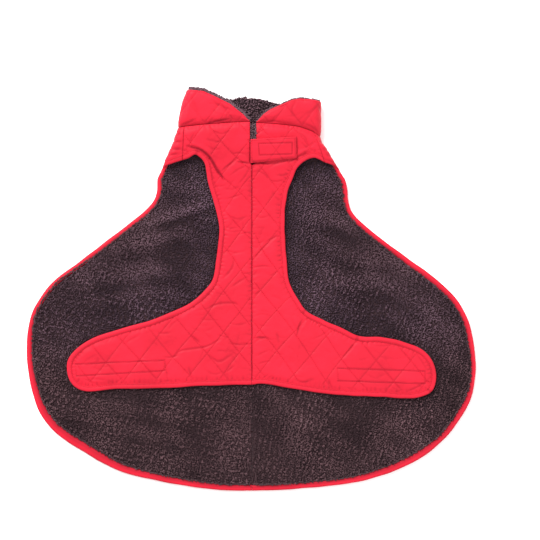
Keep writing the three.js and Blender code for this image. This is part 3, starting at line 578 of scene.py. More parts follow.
def cover(outline, points, clearance):
    """Triangles over an outline, through the points inside that keep clear of its edge."""
    points = points[is_inside(points, outline)]
    if len(points):
        apart, _ = near(points, closed(outline, 0.8))
        points = points[apart > clearance]
    vertices = np.vstack([outline, points])
    count = len(outline)
    ring = list(range(count))
    found = delaunay_2d_cdt([tuple(v) for v in vertices], [], [ring], 1, 1e-6)
    return np.array([tuple(v) for v in found[0]]), np.array(found[2])


def staggered(outline, step):
    low, high = outline.min(axis=0), outline.max(axis=0)
    rows = np.arange(low[1], high[1], step * 0.82)
    columns = np.arange(low[0], high[0], step)
    grid = [np.column_stack([columns + (i % 2) * step / 2, np.full(len(columns), y)])
            for i, y in enumerate(rows)]
    return np.vstack(grid)


# Quilting, measured in lattice steps: stitch lines run where either count is whole

def soft_waves(x, y, seed, wavelength, count=5):
    """A gentle field between about -1 and 1, from a few crossing waves."""
    rng = np.random.default_rng(seed)
    field = np.zeros(np.shape(x))
    for _ in range(count):
        angle = rng.uniform(0, 2 * math.pi)
        length = wavelength * rng.uniform(0.7, 1.5)
        phase = rng.uniform(0, 2 * math.pi)
        turn = (x * math.cos(angle) + y * math.sin(angle)) * 2 * math.pi / length
        field += np.sin(turn + phase)
    return field / math.sqrt(count)


class Lattice:
    """The diamond quilting of one piece: an even lattice, as the cloth's handling has pulled it."""

    def __init__(self, origin, seed, drift=None):
        self.origin = origin
        self.seed = seed
        self.drift = drift

    def pulled(self, points):
        """Millimetres that the pattern has moved at each point."""
        x, y = points[:, 0], points[:, 1]
        waves = [soft_waves(x, y, self.seed + k, 110) for k in range(2)]
        moved = 0.9 * np.stack(waves, axis=-1)
        if self.drift:
            nodes = np.column_stack([self.drift["across"], self.drift["y"]])
            squares = np.sum((points[:, None] - nodes[None]) ** 2, axis=2)
            weights = np.exp(-squares / (2 * DRIFT_SPREAD**2))
            total = weights.sum(axis=1) + 0.02
            a, b = (weights @ self.drift[key] / total for key in "ab")
            moved += np.stack([(a + b) * QUILT_WIDE / 2, (a - b) * QUILT_TALL / 2], axis=-1)
        return moved

    def counts(self, points):
        even = points - self.pulled(points)
        rise = (even[:, 0] - self.origin[0]) / QUILT_WIDE
        run = (even[:, 1] - self.origin[1]) / QUILT_TALL
        return rise + run, rise - run

    def points(self, counts_a, counts_b):
        x = self.origin[0] + (counts_a + counts_b) / 2 * QUILT_WIDE
        y = self.origin[1] + (counts_a - counts_b) / 2 * QUILT_TALL
        even = np.stack([x, y], axis=-1)
        moved = even
        for _ in range(7):
            moved = even + self.pulled(moved)
        return moved

    def count_range(self, outline):
        """The counts that an outline spans, with a margin for how the pattern is pulled."""
        a, b = self.counts(outline)
        return (a.min() - 0.5, a.max() + 0.5), (b.min() - 0.5, b.max() + 0.5)


def line_distance(counts_a, counts_b):
    """Distance to the nearest stitch line."""
    between_lines = QUILT_WIDE * QUILT_TALL / math.hypot(QUILT_WIDE, QUILT_TALL)
    nearest = np.minimum(np.abs(counts_a - np.round(counts_a)), np.abs(counts_b - np.round(counts_b)))
    return nearest * between_lines


def quilt_height(points, lattice, puff):
    """Height over the stitch lines: a narrow stitched groove, then a low soft pillow."""
    a, b = lattice.counts(points)
    distance = line_distance(a, b)

    def dome(count):
        part = count - np.floor(count)
        return (4 * part * (1 - part)) ** 0.6

    shoulder = 1 - np.exp(-distance / 1.5)
    uneven = 1 + 0.3 * soft_waves(points[:, 0], points[:, 1], lattice.seed + 5, 60)
    return puff * uneven * (0.55 * shoulder + 0.45 * dome(a) * dome(b)), np.exp(-distance / 0.8)


def quilt_mesh_points(outline, lattice, steps):
    """Points in lattice rows that crowd towards the stitch lines."""
    crowd = 0.6

    def crowded(low, high):
        even = np.arange(math.floor(low) * steps, math.ceil(high) * steps + 1) / steps
        return even - crowd * np.sin(2 * math.pi * even) / (2 * math.pi)

    range_a, range_b = lattice.count_range(outline)
    grid_a, grid_b = np.meshgrid(crowded(*range_a), crowded(*range_b))
    even = lattice.origin + np.stack([
        (grid_a + grid_b).ravel() / 2 * QUILT_WIDE, (grid_a - grid_b).ravel() / 2 * QUILT_TALL,
    ], axis=-1)
    low, high = outline.min(axis=0) - 40, outline.max(axis=0) + 40
    close = np.all((even > low) & (even < high), axis=1)
    return lattice.points(grid_a.ravel()[close], grid_b.ravel()[close])


def quilt_lines(outline, lattice):
    """The stitch lines inside an outline, as runs of points."""
    range_a, range_b = lattice.count_range(outline)
    step = 0.02
    runs = []
    for fixed, moving, swapped in ((range_a, range_b, False), (range_b, range_a, True)):
        along = np.arange(*moving, step)
        for whole in range(math.floor(fixed[0]), math.ceil(fixed[1]) + 1):
            pair = (along, np.full(len(along), float(whole)))
            first, second = pair if swapped else pair[::-1]
            line = lattice.points(first, second)
            inside = is_inside(line, outline)
            cuts = np.flatnonzero(np.diff(inside.astype(int))) + 1
            for piece, kept in zip(np.split(line, cuts), np.split(inside, cuts)):
                if len(piece) > 3 and kept[0]:
                    runs.append(piece)
    return runs


def crease_field(points, creases):
    """Depth of listed creases, each a soft trough that fades towards its ends."""
    field = np.zeros(len(points))
    for path, depth, width in creases:
        run = even_run(smooth_run(path, 1.2), 1.2)
        width = width * CREASE_WIDTH
        low, high = run.min(axis=0) - 3 * width, run.max(axis=0) + 3 * width
        close = np.flatnonzero(np.all((points > low) & (points < high), axis=1))
        if not len(close):
            continue
        offsets = points[close][:, None, :] - run[None]
        apart = np.linalg.norm(offsets, axis=2)
        nearest = apart.argmin(axis=1)
        share = nearest / (len(run) - 1)
        taper = np.sin(math.pi * np.clip(share, 0.02, 0.98)) ** 0.5
        distance = apart[np.arange(len(close)), nearest] / width
        field[close] += CREASE_STRENGTH * depth * taper * np.exp(-distance**2)
    return field


def stitch_wrinkles(outline, lattice, count):
    """Small wrinkles that run out from the stitch lines, slantwise, where the cloth is gathered."""
    rng = np.random.default_rng(lattice.seed + 31)
    low, high = outline.min(axis=0), outline.max(axis=0)
    wrinkles = []
    while len(wrinkles) < count:
        point = rng.uniform(low, high)[None]
        if not is_inside(point, outline)[0]:
            continue
        a, b = lattice.counts(point)
        along_a = abs(a[0] - round(a[0])) < abs(b[0] - round(b[0]))
        slope = math.atan2(QUILT_TALL, QUILT_WIDE) * (-1 if along_a else 1)
        angle = slope + math.pi / 2 + rng.uniform(-0.7, 0.7)
        length = rng.uniform(9, 26)
        ahead = np.array([math.cos(angle), math.sin(angle)])
        aside = np.array([-ahead[1], ahead[0]]) * rng.uniform(-0.16, 0.16) * length
        start = point[0] - ahead * length / 2
        middle, end = point[0] + aside, point[0] + ahead * length / 2
        wrinkles.append(((start, middle, end), rng.uniform(0.15, 0.55), rng.uniform(1.2, 2.2)))
    return tuple(wrinkles)


def seam_puckers(run, apart, nearest, seed, reach, size):
    """Small gathers that a seam pulls into the cloth beside it."""
    rng = np.random.default_rng(seed)
    length = np.concatenate([[0], np.cumsum(np.linalg.norm(np.diff(run, axis=0), axis=1))])
    pitch = rng.uniform(4.0, 9.0, int(length[-1] / 5) + 4)
    marks = np.cumsum(pitch)
    strength = rng.uniform(0.1, 1.0, len(marks))
    at = length[nearest]
    which = np.clip(np.searchsorted(marks, at), 1, len(marks) - 1)
    share = (at - marks[which - 1]) / (marks[which] - marks[which - 1])
    bump = np.exp(-(((share - 0.5) / 0.17) ** 2)) * strength[which]
    return size * bump * np.exp(-apart / reach)


# Meshes

def add_mesh(name, places, triangles, material, attributes=None):
    """A piece from places in millimetres and its triangles."""
    places = np.asarray(places, float) * MM + (SHIFT_X, SHIFT_Y, 0)
    triangles = np.asarray(triangles, np.int32)
    mesh = bpy.data.meshes.new(name)
    mesh.vertices.add(len(places))
    mesh.vertices.foreach_set("co", places.ravel())
    mesh.loops.add(triangles.size)
    mesh.loops.foreach_set("vertex_index", triangles.ravel())
    mesh.polygons.add(len(triangles))
    mesh.polygons.foreach_set("loop_start", np.arange(0, triangles.size, 3, dtype=np.int32))
    mesh.polygons.foreach_set("use_smooth", np.full(len(triangles), True))
    mesh.update(calc_edges=True)
    mesh.validate()
    for key, values in (attributes or {}).items():
        layer = mesh.attributes.new(key, "FLOAT", "POINT")
        layer.data.foreach_set("value", np.asarray(values, np.float32))
    mesh.materials.append(material)
    piece = bpy.data.objects.new(name, mesh)
    bpy.context.scene.collection.objects.link(piece)
    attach(piece, "root")
    return piece


def on_outer_face(values, places):
    """A vertex attribute from the outer face's values, and 0 on the rest of the wall."""
    return np.concatenate([values, np.zeros(len(places) - len(values))])


def signed_volume(places, triangles):
    a, b, c = (places[triangles[:, k]] for k in range(3))
    return np.sum(a * np.cross(b, c))


def outward(places, triangles):
    return triangles if signed_volume(places, triangles) > 0 else triangles[:, ::-1]


def cloth_wall(outline, outer_points, inner_points, clearance, place_outer, place_inner):
    """The places and triangles of a closed wall, its outer face first."""
    outer, outer_faces = cover(outline, outer_points, clearance)
    inner, inner_faces = cover(outline, inner_points, clearance)
    shift, count = len(outer), len(outline)
    ring = np.arange(count)
    following = np.roll(ring, -1)
    faces = np.vstack([
        outer_faces,
        inner_faces[:, ::-1] + shift,
        np.column_stack([following, ring, ring + shift]),
        np.column_stack([following, ring + shift, following + shift]),
    ])
    places = np.vstack([place_outer(outer), place_inner(inner)])
    return places, outward(places, faces)


def swept(rings):
    """A closed strip through rings of points, capped at both ends."""
    stations, size = rings.shape[:2]
    k = np.arange(size)
    following = np.roll(k, -1)
    faces = []
    for ring in range(stations - 1):
        low, high = ring * size, (ring + 1) * size
        faces.append(np.column_stack([low + k, low + following, high + following]))
        faces.append(np.column_stack([low + k, high + following, high + k]))
    fan = np.arange(1, size - 1)
    last = (stations - 1) * size
    faces.append(np.column_stack([np.zeros(size - 2, int), fan + 1, fan]))
    faces.append(np.column_stack([np.full(size - 2, last), last + fan, last + fan + 1]))
    places = rings.reshape(-1, 3)
    return places, outward(places, np.vstack(faces))


def border_of(grid):
    """The values round the border of a grid, in order."""
    return np.concatenate([grid[0], grid[1:, -1], grid[-1, -2::-1], grid[-2:0:-1, 0]])


def row_wall(outer, inner):
    """A closed wall from two grids of places, its outer and its inner face."""
    rows, columns = outer.shape[:2]
    at = np.arange(rows * columns).reshape(rows, columns)
    shift = rows * columns
    a, b, c, d = at[:-1, :-1], at[:-1, 1:], at[1:, 1:], at[1:, :-1]
    front = np.vstack([np.column_stack([p.ravel() for p in t]) for t in ((a, b, c), (a, c, d))])
    border = border_of(at)
    following = np.roll(border, -1)
    faces = np.vstack([
        front,
        front[:, ::-1] + shift,
        np.column_stack([following, border, border + shift]),
        np.column_stack([following, border + shift, following + shift]),
    ])
    places = np.vstack([outer.reshape(-1, 3), inner.reshape(-1, 3)])
    return places, outward(places, faces)


def stitches(name, runs, place, material, pitch=STITCH_PITCH, length=STITCH_LENGTH):
    """Short threads along runs of pattern points, each a small closed bead of six sides."""
    beads, faces = [], []
    box_faces = np.array([
        (0, 2, 1), (0, 3, 2), (4, 5, 6), (4, 6, 7), (0, 1, 5), (0, 5, 4),
        (1, 2, 6), (1, 6, 5), (2, 3, 7), (2, 7, 6), (3, 0, 4), (3, 4, 7),
    ])
    for run in runs:
        total = np.sum(np.linalg.norm(np.diff(run, axis=0), axis=1))
        if total < pitch * 1.5:
            continue
        marks = even_run(run, pitch)
        direction = np.diff(marks, axis=0)
        direction /= np.linalg.norm(direction, axis=1)[:, None]
        middle = (marks[:-1] + marks[1:]) / 2
        starts = place(middle - direction * length / 2)
        ends = place(middle + direction * length / 2)
        along = ends - starts
        along /= np.linalg.norm(along, axis=1)[:, None]
        sideways = np.cross(along, (0, 0, 1.0))
        sideways /= np.linalg.norm(sideways, axis=1)[:, None]
        up = np.cross(sideways, along)
        for start, end, s, u in zip(starts, ends, sideways, up):
            wide, tall = s * THREAD_RADIUS, u * THREAD_RADIUS
            corners = (-wide - tall, wide - tall, wide * 0.6 + tall, tall - wide * 0.6)
            faces.append(box_faces + len(beads) * 8)
            beads.append(np.array([at + corner for at in (start, end) for corner in corners]))
    return add_mesh(name, np.vstack(beads), np.vstack(faces), material)


# Materials

def new_material(name):
    material = bpy.data.materials.new(name)
    material.use_nodes = True
    nodes = material.node_tree.nodes
    return material, nodes, material.node_tree.links, nodes["Principled BSDF"]


def noise(nodes, links, coords, scale, detail=3.0, roughness=0.55):
    node = nodes.new("ShaderNodeTexNoise")
    node.inputs["Scale"].default_value = scale
    node.inputs["Detail"].default_value = detail
    node.inputs["Roughness"].default_value = roughness
    links.new(coords.outputs["Object"], node.inputs["Vector"])
    return node


def two_tone(nodes, links, factor, low, high, start=0.35, end=0.65):
    ramp = nodes.new("ShaderNodeValToRGB")
    ramp.color_ramp.elements[0].color = (*low, 1)
    ramp.color_ramp.elements[1].color = (*high, 1)
    ramp.color_ramp.elements[0].position = start
    ramp.color_ramp.elements[1].position = end
    links.new(factor, ramp.inputs["Fac"])
    return ramp.outputs["Color"]


def bump(nodes, links, height, strength, distance, below=None):
    node = nodes.new("ShaderNodeBump")
    node.inputs["Strength"].default_value = strength
    node.inputs["Distance"].default_value = distance
    links.new(height, node.inputs["Height"])
    if below:
        links.new(below, node.inputs["Normal"])
    return node.outputs["Normal"]


def attribute(nodes, name):
    node = nodes.new("ShaderNodeAttribute")
    node.attribute_name = name
    return node.outputs["Fac"]


def paint_shade_by(nodes, links, color, name, dark):
    """Paints shade: mixes a darker colour in where a vertex attribute is high, as the shade in a
    stitched groove.
    """
    mix = nodes.new("ShaderNodeMix")
    mix.data_type = "RGBA"
    links.new(attribute(nodes, name), mix.inputs["Factor"])
    links.new(color, mix.inputs["A"])
    mix.inputs["B"].default_value = (*dark, 1)
    return mix.outputs["Result"]


def woven_material(name, color, dark, with_groove_shade):
    """Close-woven nylon: a fine weave, slight unevenness of colour and soft crumples, and, where asked,
    painted shade along its stitch lines, creases and seams.
    """
    material, nodes, links, shader = new_material(name)
    coords = nodes.new("ShaderNodeTexCoord")
    cloudy = noise(nodes, links, coords, 22, 4)
    lighter = tuple(min(1.0, c * 1.07) for c in color)
    deeper = tuple(c * 0.88 for c in color)
    toned = two_tone(nodes, links, cloudy.outputs["Fac"], deeper, lighter)
    # Painted shade: the darker red is mixed in by the per-vertex shade amount
    if with_groove_shade:
        toned = paint_shade_by(nodes, links, toned, "groove", dark)
    links.new(toned, shader.inputs["Base Color"])
    weave = nodes.new("ShaderNodeTexWave")
    weave.bands_direction = "DIAGONAL"
    weave.inputs["Scale"].default_value = 520
    weave.inputs["Distortion"].default_value = 1.5
    links.new(coords.outputs["Object"], weave.inputs["Vector"])
    crumple = noise(nodes, links, coords, 130, 4, 0.5)
    under = bump(nodes, links, crumple.outputs["Fac"], 0.35, 0.0012)
    links.new(bump(nodes, links, weave.outputs["Fac"], 0.12, 0.0002, under), shader.inputs["Normal"])
    rough = noise(nodes, links, coords, 300, 2)
    spread = nodes.new("ShaderNodeMapRange")
    spread.inputs["To Min"].default_value = 0.46
    spread.inputs["To Max"].default_value = 0.62
    links.new(rough.outputs["Fac"], spread.inputs["Value"])
    links.new(spread.outputs["Result"], shader.inputs["Roughness"])
    shader.inputs["Specular IOR Level"].default_value = 0.11
    shader.inputs["Sheen Weight"].default_value = 0.04
    shader.inputs["Sheen Roughness"].default_value = 0.5
    return material


def curl_tones(nodes, links, factor, light, dark):
    """Three tones from a lock's foot, darkened as painted shade, to its lighter tip, with a bluish
    painted shade tint where the per-vertex amount says so.
    """
    scaled = nodes.new("ShaderNodeMath")
    scaled.operation = "MULTIPLY"
    links.new(attribute(nodes, "curl_tone_and_shade"), scaled.inputs[0])
    links.new(factor, scaled.inputs[1])
    halved = nodes.new("ShaderNodeMath")
    halved.operation = "MULTIPLY"
    halved.inputs[1].default_value = 0.5
    links.new(scaled.outputs["Value"], halved.inputs[0])
    ramp = nodes.new("ShaderNodeValToRGB")
    ramp.color_ramp.elements[0].color = (*dark, 1)
    ramp.color_ramp.elements[1].color = (*PILE_CREST, 1)
    middle = ramp.color_ramp.elements.new(0.47)
    middle.color = (*light, 1)
    links.new(halved.outputs["Value"], ramp.inputs["Fac"])
    tinted = nodes.new("ShaderNodeMix")
    tinted.data_type = "RGBA"
    tinted.blend_type = "MULTIPLY"
    tinted.inputs["B"].default_value = (*PILE_SHADE_TINT, 1)
    links.new(attribute(nodes, "cool_shade"), tinted.inputs["Factor"])
    links.new(ramp.outputs["Color"], tinted.inputs["A"])
    return tinted.outputs["Result"]


def pile_material(name, light, dark, curled):
    """Curly fleece: dark between its curls as painted shade, lighter at their tips, and softly uneven.
    """
    material, nodes, links, shader = new_material(name)
    coords = nodes.new("ShaderNodeTexCoord")
    fine = noise(nodes, links, coords, 420, 3, 0.65)
    nap = noise(nodes, links, coords, 15, 4)
    lift = nodes.new("ShaderNodeMath")
    lift.operation = "MULTIPLY_ADD"
    lift.inputs[1].default_value = 0.55
    links.new(nap.outputs["Fac"], lift.inputs[0])
    links.new(fine.outputs["Fac"], lift.inputs[2])
    factor = lift.outputs["Value"]
    if curled:
        toned = curl_tones(nodes, links, factor, light, dark)
    else:
        toned = two_tone(nodes, links, factor, dark, light, 0.55, 1.1)
    links.new(toned, shader.inputs["Base Color"])
    fibres = noise(nodes, links, coords, 900, 3, 0.6)
    links.new(bump(nodes, links, fibres.outputs["Fac"], 0.6, 0.0006), shader.inputs["Normal"])
    shader.inputs["Roughness"].default_value = 0.95
    shader.inputs["Specular IOR Level"].default_value = 0.08
    shader.inputs["Sheen Weight"].default_value = 0.09
    shader.inputs["Sheen Roughness"].default_value = 0.5
    shader.inputs["Sheen Tint"].default_value = (0.75, 0.5, 0.55, 1)
    return material


def floor_material():
    material, nodes, links, shader = new_material("studio_floor")
    coords = nodes.new("ShaderNodeTexCoord")
    cloudy = noise(nodes, links, coords, 3, 2)
    toned = two_tone(nodes, links, cloudy.outputs["Fac"], (0.93, 0.93, 0.93), (0.96, 0.96, 0.96))
    links.new(toned, shader.inputs["Base Color"])
    shader.inputs["Roughness"].default_value = 0.9
    shader.inputs["Specular IOR Level"].default_value = 0.1
    return material


shell_cloth = woven_material("red_quilted_nylon", RED, SHADE_RED, True)
plain_cloth = woven_material("red_nylon", RED, SHADE_RED, False)
binding_cloth = woven_material("red_binding_tape", BINDING_RED, SHADE_RED, True)
thread = woven_material("red_thread", THREAD_RED, SHADE_RED, False)
fleece = pile_material("brown_pile", PILE_LIGHT, PILE_DARK, True)
# The pile's ground is made dark to stand for the shade between the locks: a real backing with painted
# shade
fleece_back = pile_material("brown_pile_ground", tuple(0.35 * c for c in PILE_LIGHT), PILE_DARK, False)


# Edges and seams shared by the pieces

def shoulder_across(side, y):
    (bottom, bottom_y), (top, top_y) = SHOULDER_SEAM[side]
    return bottom + (top - bottom) * (y - bottom_y) / (top_y - bottom_y)


def chest_shoulder(side, y):
    return np.array([shoulder_across(side, y) - SEAM_GAP / 2, y])


def back_shoulder(side, y):
    return np.array([front_reach(side, shoulder_across(side, y) + SEAM_GAP / 2, y), y])


def seam_direction(side, shoulder_at):
    y = SHOULDER_SEAM[side][0][1]
    return (shoulder_at(side, y + BINDING_WIDTH) - shoulder_at(side, y)) / BINDING_WIDTH


def back_edge(side, step):
    first = back_shoulder(side, SHOULDER_SEAM[side][0][1])
    shoulder = [(front_reach(side, across, y), y) for across, y in SHOULDER_EDGE[side]]
    fold = (float(section(side, FOLD_Y)[2]), FOLD_Y)
    hem = [(max(across, SEAM_GAP / 2), y) for across, y in HEM[side]]
    run = smooth_run([first, *shoulder, fold, *hem], step)
    return edge_of(run, seam_direction(side, back_shoulder))


def chest_edge(side, step):
    first = chest_shoulder(side, SHOULDER_SEAM[side][0][1])
    rest = [(max(across, SEAM_GAP / 2), y) for across, y in CHEST_EDGE[side][1:]]
    return edge_of(smooth_run([first, *rest], step), seam_direction(side, chest_shoulder))


def binding_shown(side, y):
    return monotone(y, BINDING_SHOWN["y"], BINDING_SHOWN[side])


def shoulder_around(side):
    (_, _), (across, y) = SHOULDER_SEAM[side]
    return across / float(section(side, y)[2])


def shoulder_run(side, shoulder_at, low):
    high = float(seam_y(side, shoulder_around(side))) - SEAM_GAP / 2
    return np.array([shoulder_at(side, y) for y in np.arange(high, low, -3.0)])


def seam_run(side, start, end, step_around=0.02):
    """Around shares and heights just below the collar seam."""
    count = max(2, int(abs(end - start) / step_around))
    around = np.linspace(start, end, count)
    return around, seam_y(side, around) - SEAM_GAP / 2


# Chest piece

def chest_outline(side):
    edge = inset(chest_edge(side, 3.0), BINDING_WIDTH - TUCKED)
    inner = OPENING_EDGE[side]
    inner_around = inner / float(section(side, 250)[2])
    around, heights = seam_run(side, inner_around, shoulder_around(side))
    seam = np.column_stack([around * section(side, heights)[2], heights])
    shoulder = shoulder_run(side, chest_shoulder, edge[0][1])
    low_opening = OPENING_BOTTOM - 1
    centre = even_run([(SEAM_GAP / 2, edge[-1][1]), (SEAM_GAP / 2, low_opening)], 3.0)
    slit = even_run([(inner, OPENING_BOTTOM + 2), (inner, heights[0])], 3.0)
    return outline_of(seam[:-1], shoulder, edge, centre[1:], slit[:-1])


def tab_apart(points):
    outline = np.array(TAB_CORNERS)
    apart, _ = near(points, closed(outline, 1.0))
    return np.where(is_inside(points, outline), 0, apart)


def box_groove(points, corners, end_share=1.0):
    """How close points lie to a box of stitching: 1 on its long sides, less on its ends."""
    groove = np.zeros(len(points))
    for start in range(4):
        side = even_run(np.array([corners[start], corners[(start + 1) % 4]]), 0.7)
        apart, _ = near(points, side)
        share = end_share if start % 2 else 1.0
        groove = np.maximum(groove, share * np.exp(-(apart / 1.1) ** 2))
    return groove


def chest_face(side, seed):
    """A function that gives the depth of the chest's face, and how much shade is painted on it in its
    stitch lines, creases, puckers and seam.
    """
    outline = chest_outline(side)
    rim = closed(outline, 1.0)
    run, _ = chest_edge(side, 1.0)
    lattice = Lattice(QUILT_ORIGIN[side], seed, QUILT_DRIFT[side])
    wrinkles = stitch_wrinkles(outline, lattice, WRINKLES)

    def depth(points):
        rim_apart, nearest = near(points, rim)
        bound, _ = near(points, run)
        tucked = np.clip(BINDING_WIDTH - bound, 0, None)
        apart = np.where(bound < BINDING_WIDTH + rim_apart, bound - BINDING_WIDTH, rim_apart)
        apart = np.clip(apart, 0, None)
        puffed, groove = quilt_height(points, lattice, QUILT_PUFF)
        fade = smoothstep(apart, 0, 8)
        if side == "right":
            fade = fade * smoothstep(tab_apart(points), 1.5, 9)
        at_binding = bound - BINDING_WIDTH < rim_apart + 0.5
        roll = np.where(at_binding, TUCKED_DEPTH, 0.6) * np.exp(-apart / 1.7) + 0.1 * tucked
        creases = crease_field(points, CHEST_CREASES[side] + wrinkles)
        puckers = seam_puckers(rim, apart, nearest, seed + 3, 4.0, 1.5)
        sewn = box_groove(points, WING_BOX[side], 0.45)
        shallow = soft_waves(points[:, 0], points[:, 1], seed + 9, 34) * 0.2
        shallow += soft_waves(points[:, 0], points[:, 1], seed + 19, 15) * 0.08
        # Painted shade: darker along the stitch lines, the wing's stitched box, the creases, the puckers
        # and the centre seam
        lines = np.maximum(groove * 0.42 * fade, sewn * 0.85)
        lines = np.maximum(lines, CREASE_SHADE * np.clip(creases, 0, 2.4))
        lines = np.maximum(lines, 0.6 * puckers * smoothstep(apart, 0, 1))
        on_centre = (points[:, 1] < OPENING_BOTTOM) & (points[:, 0] < 8)
        uneven = 1 + 0.35 * soft_waves(points[:, 1], points[:, 0], seed + 21, 22)
        seam = on_centre * np.exp(-points[:, 0] / 0.7) * np.clip(uneven, 0.4, 1.4)
        lines = np.maximum(lines, 0.75 * seam)
        gathered = puckers * smoothstep(apart, 0, 1.5)
        creased = creases * smoothstep(apart, 0, 2.5)
        total = -(puffed * fade) + roll + creased + shallow * fade + gathered + 0.8 * sewn + 0.7 * seam
        limit = SEAM_GAP + CHEST_THICKNESS - 1.4
        return np.minimum(total, limit), np.clip(lines, 0, 1)

    return depth


def build_chest(side, seed):
    outline = chest_outline(side)
    face = chest_face(side, seed)
    painted_shades = {}

    def outer(points):
        depth, groove = face(points)
        painted_shades["values"] = groove
        return lay_front(side, points[:, 0], points[:, 1], depth)

    def inner(points):
        bound, _ = near(points, run)
        raised = 1.0 * (bound < BINDING_WIDTH + 0.5)
        return lay_front(side, points[:, 0], points[:, 1], CHEST_THICKNESS - raised)

    run, _ = chest_edge(side, 1.0)
    lattice = Lattice(QUILT_ORIGIN[side], seed, QUILT_DRIFT[side])
    fine = quilt_mesh_points(outline, lattice, QUILT_STEPS)
    from_edge, _ = near(fine, run)
    fine = fine[(from_edge < BINDING_WIDTH - 1) | (from_edge > BINDING_WIDTH + GATHERED)]
    edge, inward = chest_edge(side, 1.1)
    rows = np.arange(BINDING_WIDTH - 0.6, BINDING_WIDTH + GATHERED, 1.05)
    gathers = np.vstack([edge + inward * row for row in rows])
    fine = np.vstack([fine, gathers])
    places, faces = cloth_wall(outline, fine, staggered(outline, 14), 0.8, outer, inner)
    # The painted shade goes onto the outer face as a vertex attribute
    groove = on_outer_face(painted_shades["values"], places)
    piece = add_mesh(f"chest_cloth_{side}", places, faces, shell_cloth, {"groove": groove})
    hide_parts(f"chest_{side}")

    def on_face(points):
        return lay_front(side, points[:, 0], points[:, 1], face(points)[0] - 0.12)

    lines = quilt_lines(outline, lattice)
    sewn = stitches(f"chest_quilting_{side}", lines, on_face, thread)
    corners = WING_BOX[side]
    boxed = stitches(f"wing_box_stitches_{side}", [np.array([*corners, corners[0]])], on_face, thread)


# Bindings

# The folded tape's outer face, from its stitched edge on top round to its edge underneath,
# as shares of the binding's width and depth
TAPE_THICKNESS = 0.7
TAPE_FOLD = table("width depth", [
    (1.00, 0.11), (0.93, 0.05), (0.84, 0.13), (0.76, 0.04), (0.50, 0.00), (0.26, 0.01),
    (0.10, 0.09), (0.01, 0.26), (-0.02, 0.48), (0.01, 0.76), (0.10, 0.93), (0.30, 1.00),
    (0.64, 1.00), (1.00, 1.00),
])


def tape_section(depth):
    """The folded tape's section, outer face then inner, as (width, depth) in millimetres."""
    outer = np.column_stack([TAPE_FOLD["width"] * BINDING_WIDTH, TAPE_FOLD["depth"] * depth])
    ahead = np.vstack([outer[1:], outer[-1:]])
    behind = np.vstack([outer[:1], outer[:-1]])
    normal = np.column_stack([ahead[:, 1] - behind[:, 1], behind[:, 0] - ahead[:, 0]])
    normal /= np.linalg.norm(normal, axis=1)[:, None]
    middle = np.array([BINDING_WIDTH, depth / 2])
    facing = np.sign(np.sum(normal * (middle - outer), axis=1))
    return np.vstack([outer, (outer + normal * facing[:, None] * TAPE_THICKNESS)[::-1]])


def build_binding(name, side, edge, place, depths, seed, node, inner_shade,
                  pinches=(), broad=1.0):
    """A tape folded over an edge; broad widens its inner side, as a factor along the run."""
    run, inward = edge
    outer_depth, inner_depth = depths
    length = np.concatenate([[0], np.cumsum(np.linalg.norm(np.diff(run, axis=0), axis=1))])
    rng = np.random.default_rng(seed)
    wander = soft_waves(length, 0 * length, seed, 38) * 0.25
    gather = 0.22 * np.sin(length * 2 * math.pi / 7.3 + 2 * soft_waves(length, 0 * length, seed + 2, 50))
    gather *= rng.uniform(0.3, 1.0, len(run))
    ends = smoothstep(np.minimum(length, length[-1] - length), 0, 9)
    gather *= ends
    wander *= ends
    pinched = np.zeros(len(run))
    for pinch in pinches:
        pinched += np.exp(-np.sum((run - pinch) ** 2, axis=1) / 2.2**2)
    gather += 0.7 * pinched
    full_depth = inner_depth - outer_depth
    rings = []
    tones = []
    for width, depth in tape_section(full_depth):
        across = width / BINDING_WIDTH
        # Painted shade on the tape: its inner side darker, a dark line at its stitching and at pinches
        stitched = 0.5 * math.exp(-((across - 0.84) / 0.05) ** 2)
        tone = inner_shade * smoothstep(across, 0.35, 0.6) + stitched
        tones.append(np.clip(tone + 0.55 * pinched, 0, 1))
        on_top = 1 - smoothstep(np.array(depth / full_depth), 0.15, 0.7)
        shifted = wander * (1 if width < 0.9 * BINDING_WIDTH else 0)
        on_inner = smoothstep(depth / full_depth, 0.6, 0.85)
        at = run + inward * ((width + shifted) * (1 + (broad - 1) * on_inner))[:, None]
        rings.append(place(side, at[:, 0], at[:, 1], outer_depth + depth + gather * on_top))
    places, faces = swept(np.stack(rings, axis=1))
    attributes = {"groove": np.stack(tones, axis=1).ravel()}
    piece = add_mesh(name, places, faces, binding_cloth, attributes)
    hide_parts(node)
    line = run + inward * (0.81 * BINDING_WIDTH)

    def on_tape(points):
        sunk = outer_depth + full_depth * 0.06
        return place(side, points[:, 0], points[:, 1], np.full(len(points), sunk))

    sewn = stitches(f"{name}_stitches", [line], on_tape, thread)


def build_back_binding(side, seed):
    edge = back_edge(side, 2.0)
    shown = binding_shown(side, edge[0][:, 1])
    build_binding(
        f"back_binding_tape_{side}", side, edge, lay, (0.0, BINDING_DEPTH), seed,
        f"back_binding_{side}", 0.5,
        broad=np.maximum(1, (shown + TAPE_UNDER_PILE) / BINDING_WIDTH),
    )


def build_chest_binding(side, seed):
    build_binding(
        f"chest_binding_tape_{side}", side, chest_edge(side, 2.0), lay_front,
        (-0.7, CHEST_THICKNESS), seed, f"chest_binding_{side}", 0.06,
        BINDING_PINCHES[side],
    )


# Back panel: the red shell, which lies face down and wraps up round the shoulders

def fold_reaches(side, y, last, step):
    """Reaches across the back, closer together where the cloth turns round the side fold."""
    radius, flat, _ = (float(v) for v in section(side, y))
    back = np.arange(step, flat, step)
    turning = flat + np.linspace(0, math.pi * radius, 18)
    front = np.arange(flat + math.pi * radius + 2, last, 2.0)
    reaches = np.concatenate([back, turning, front])
    return reaches[reaches < last]


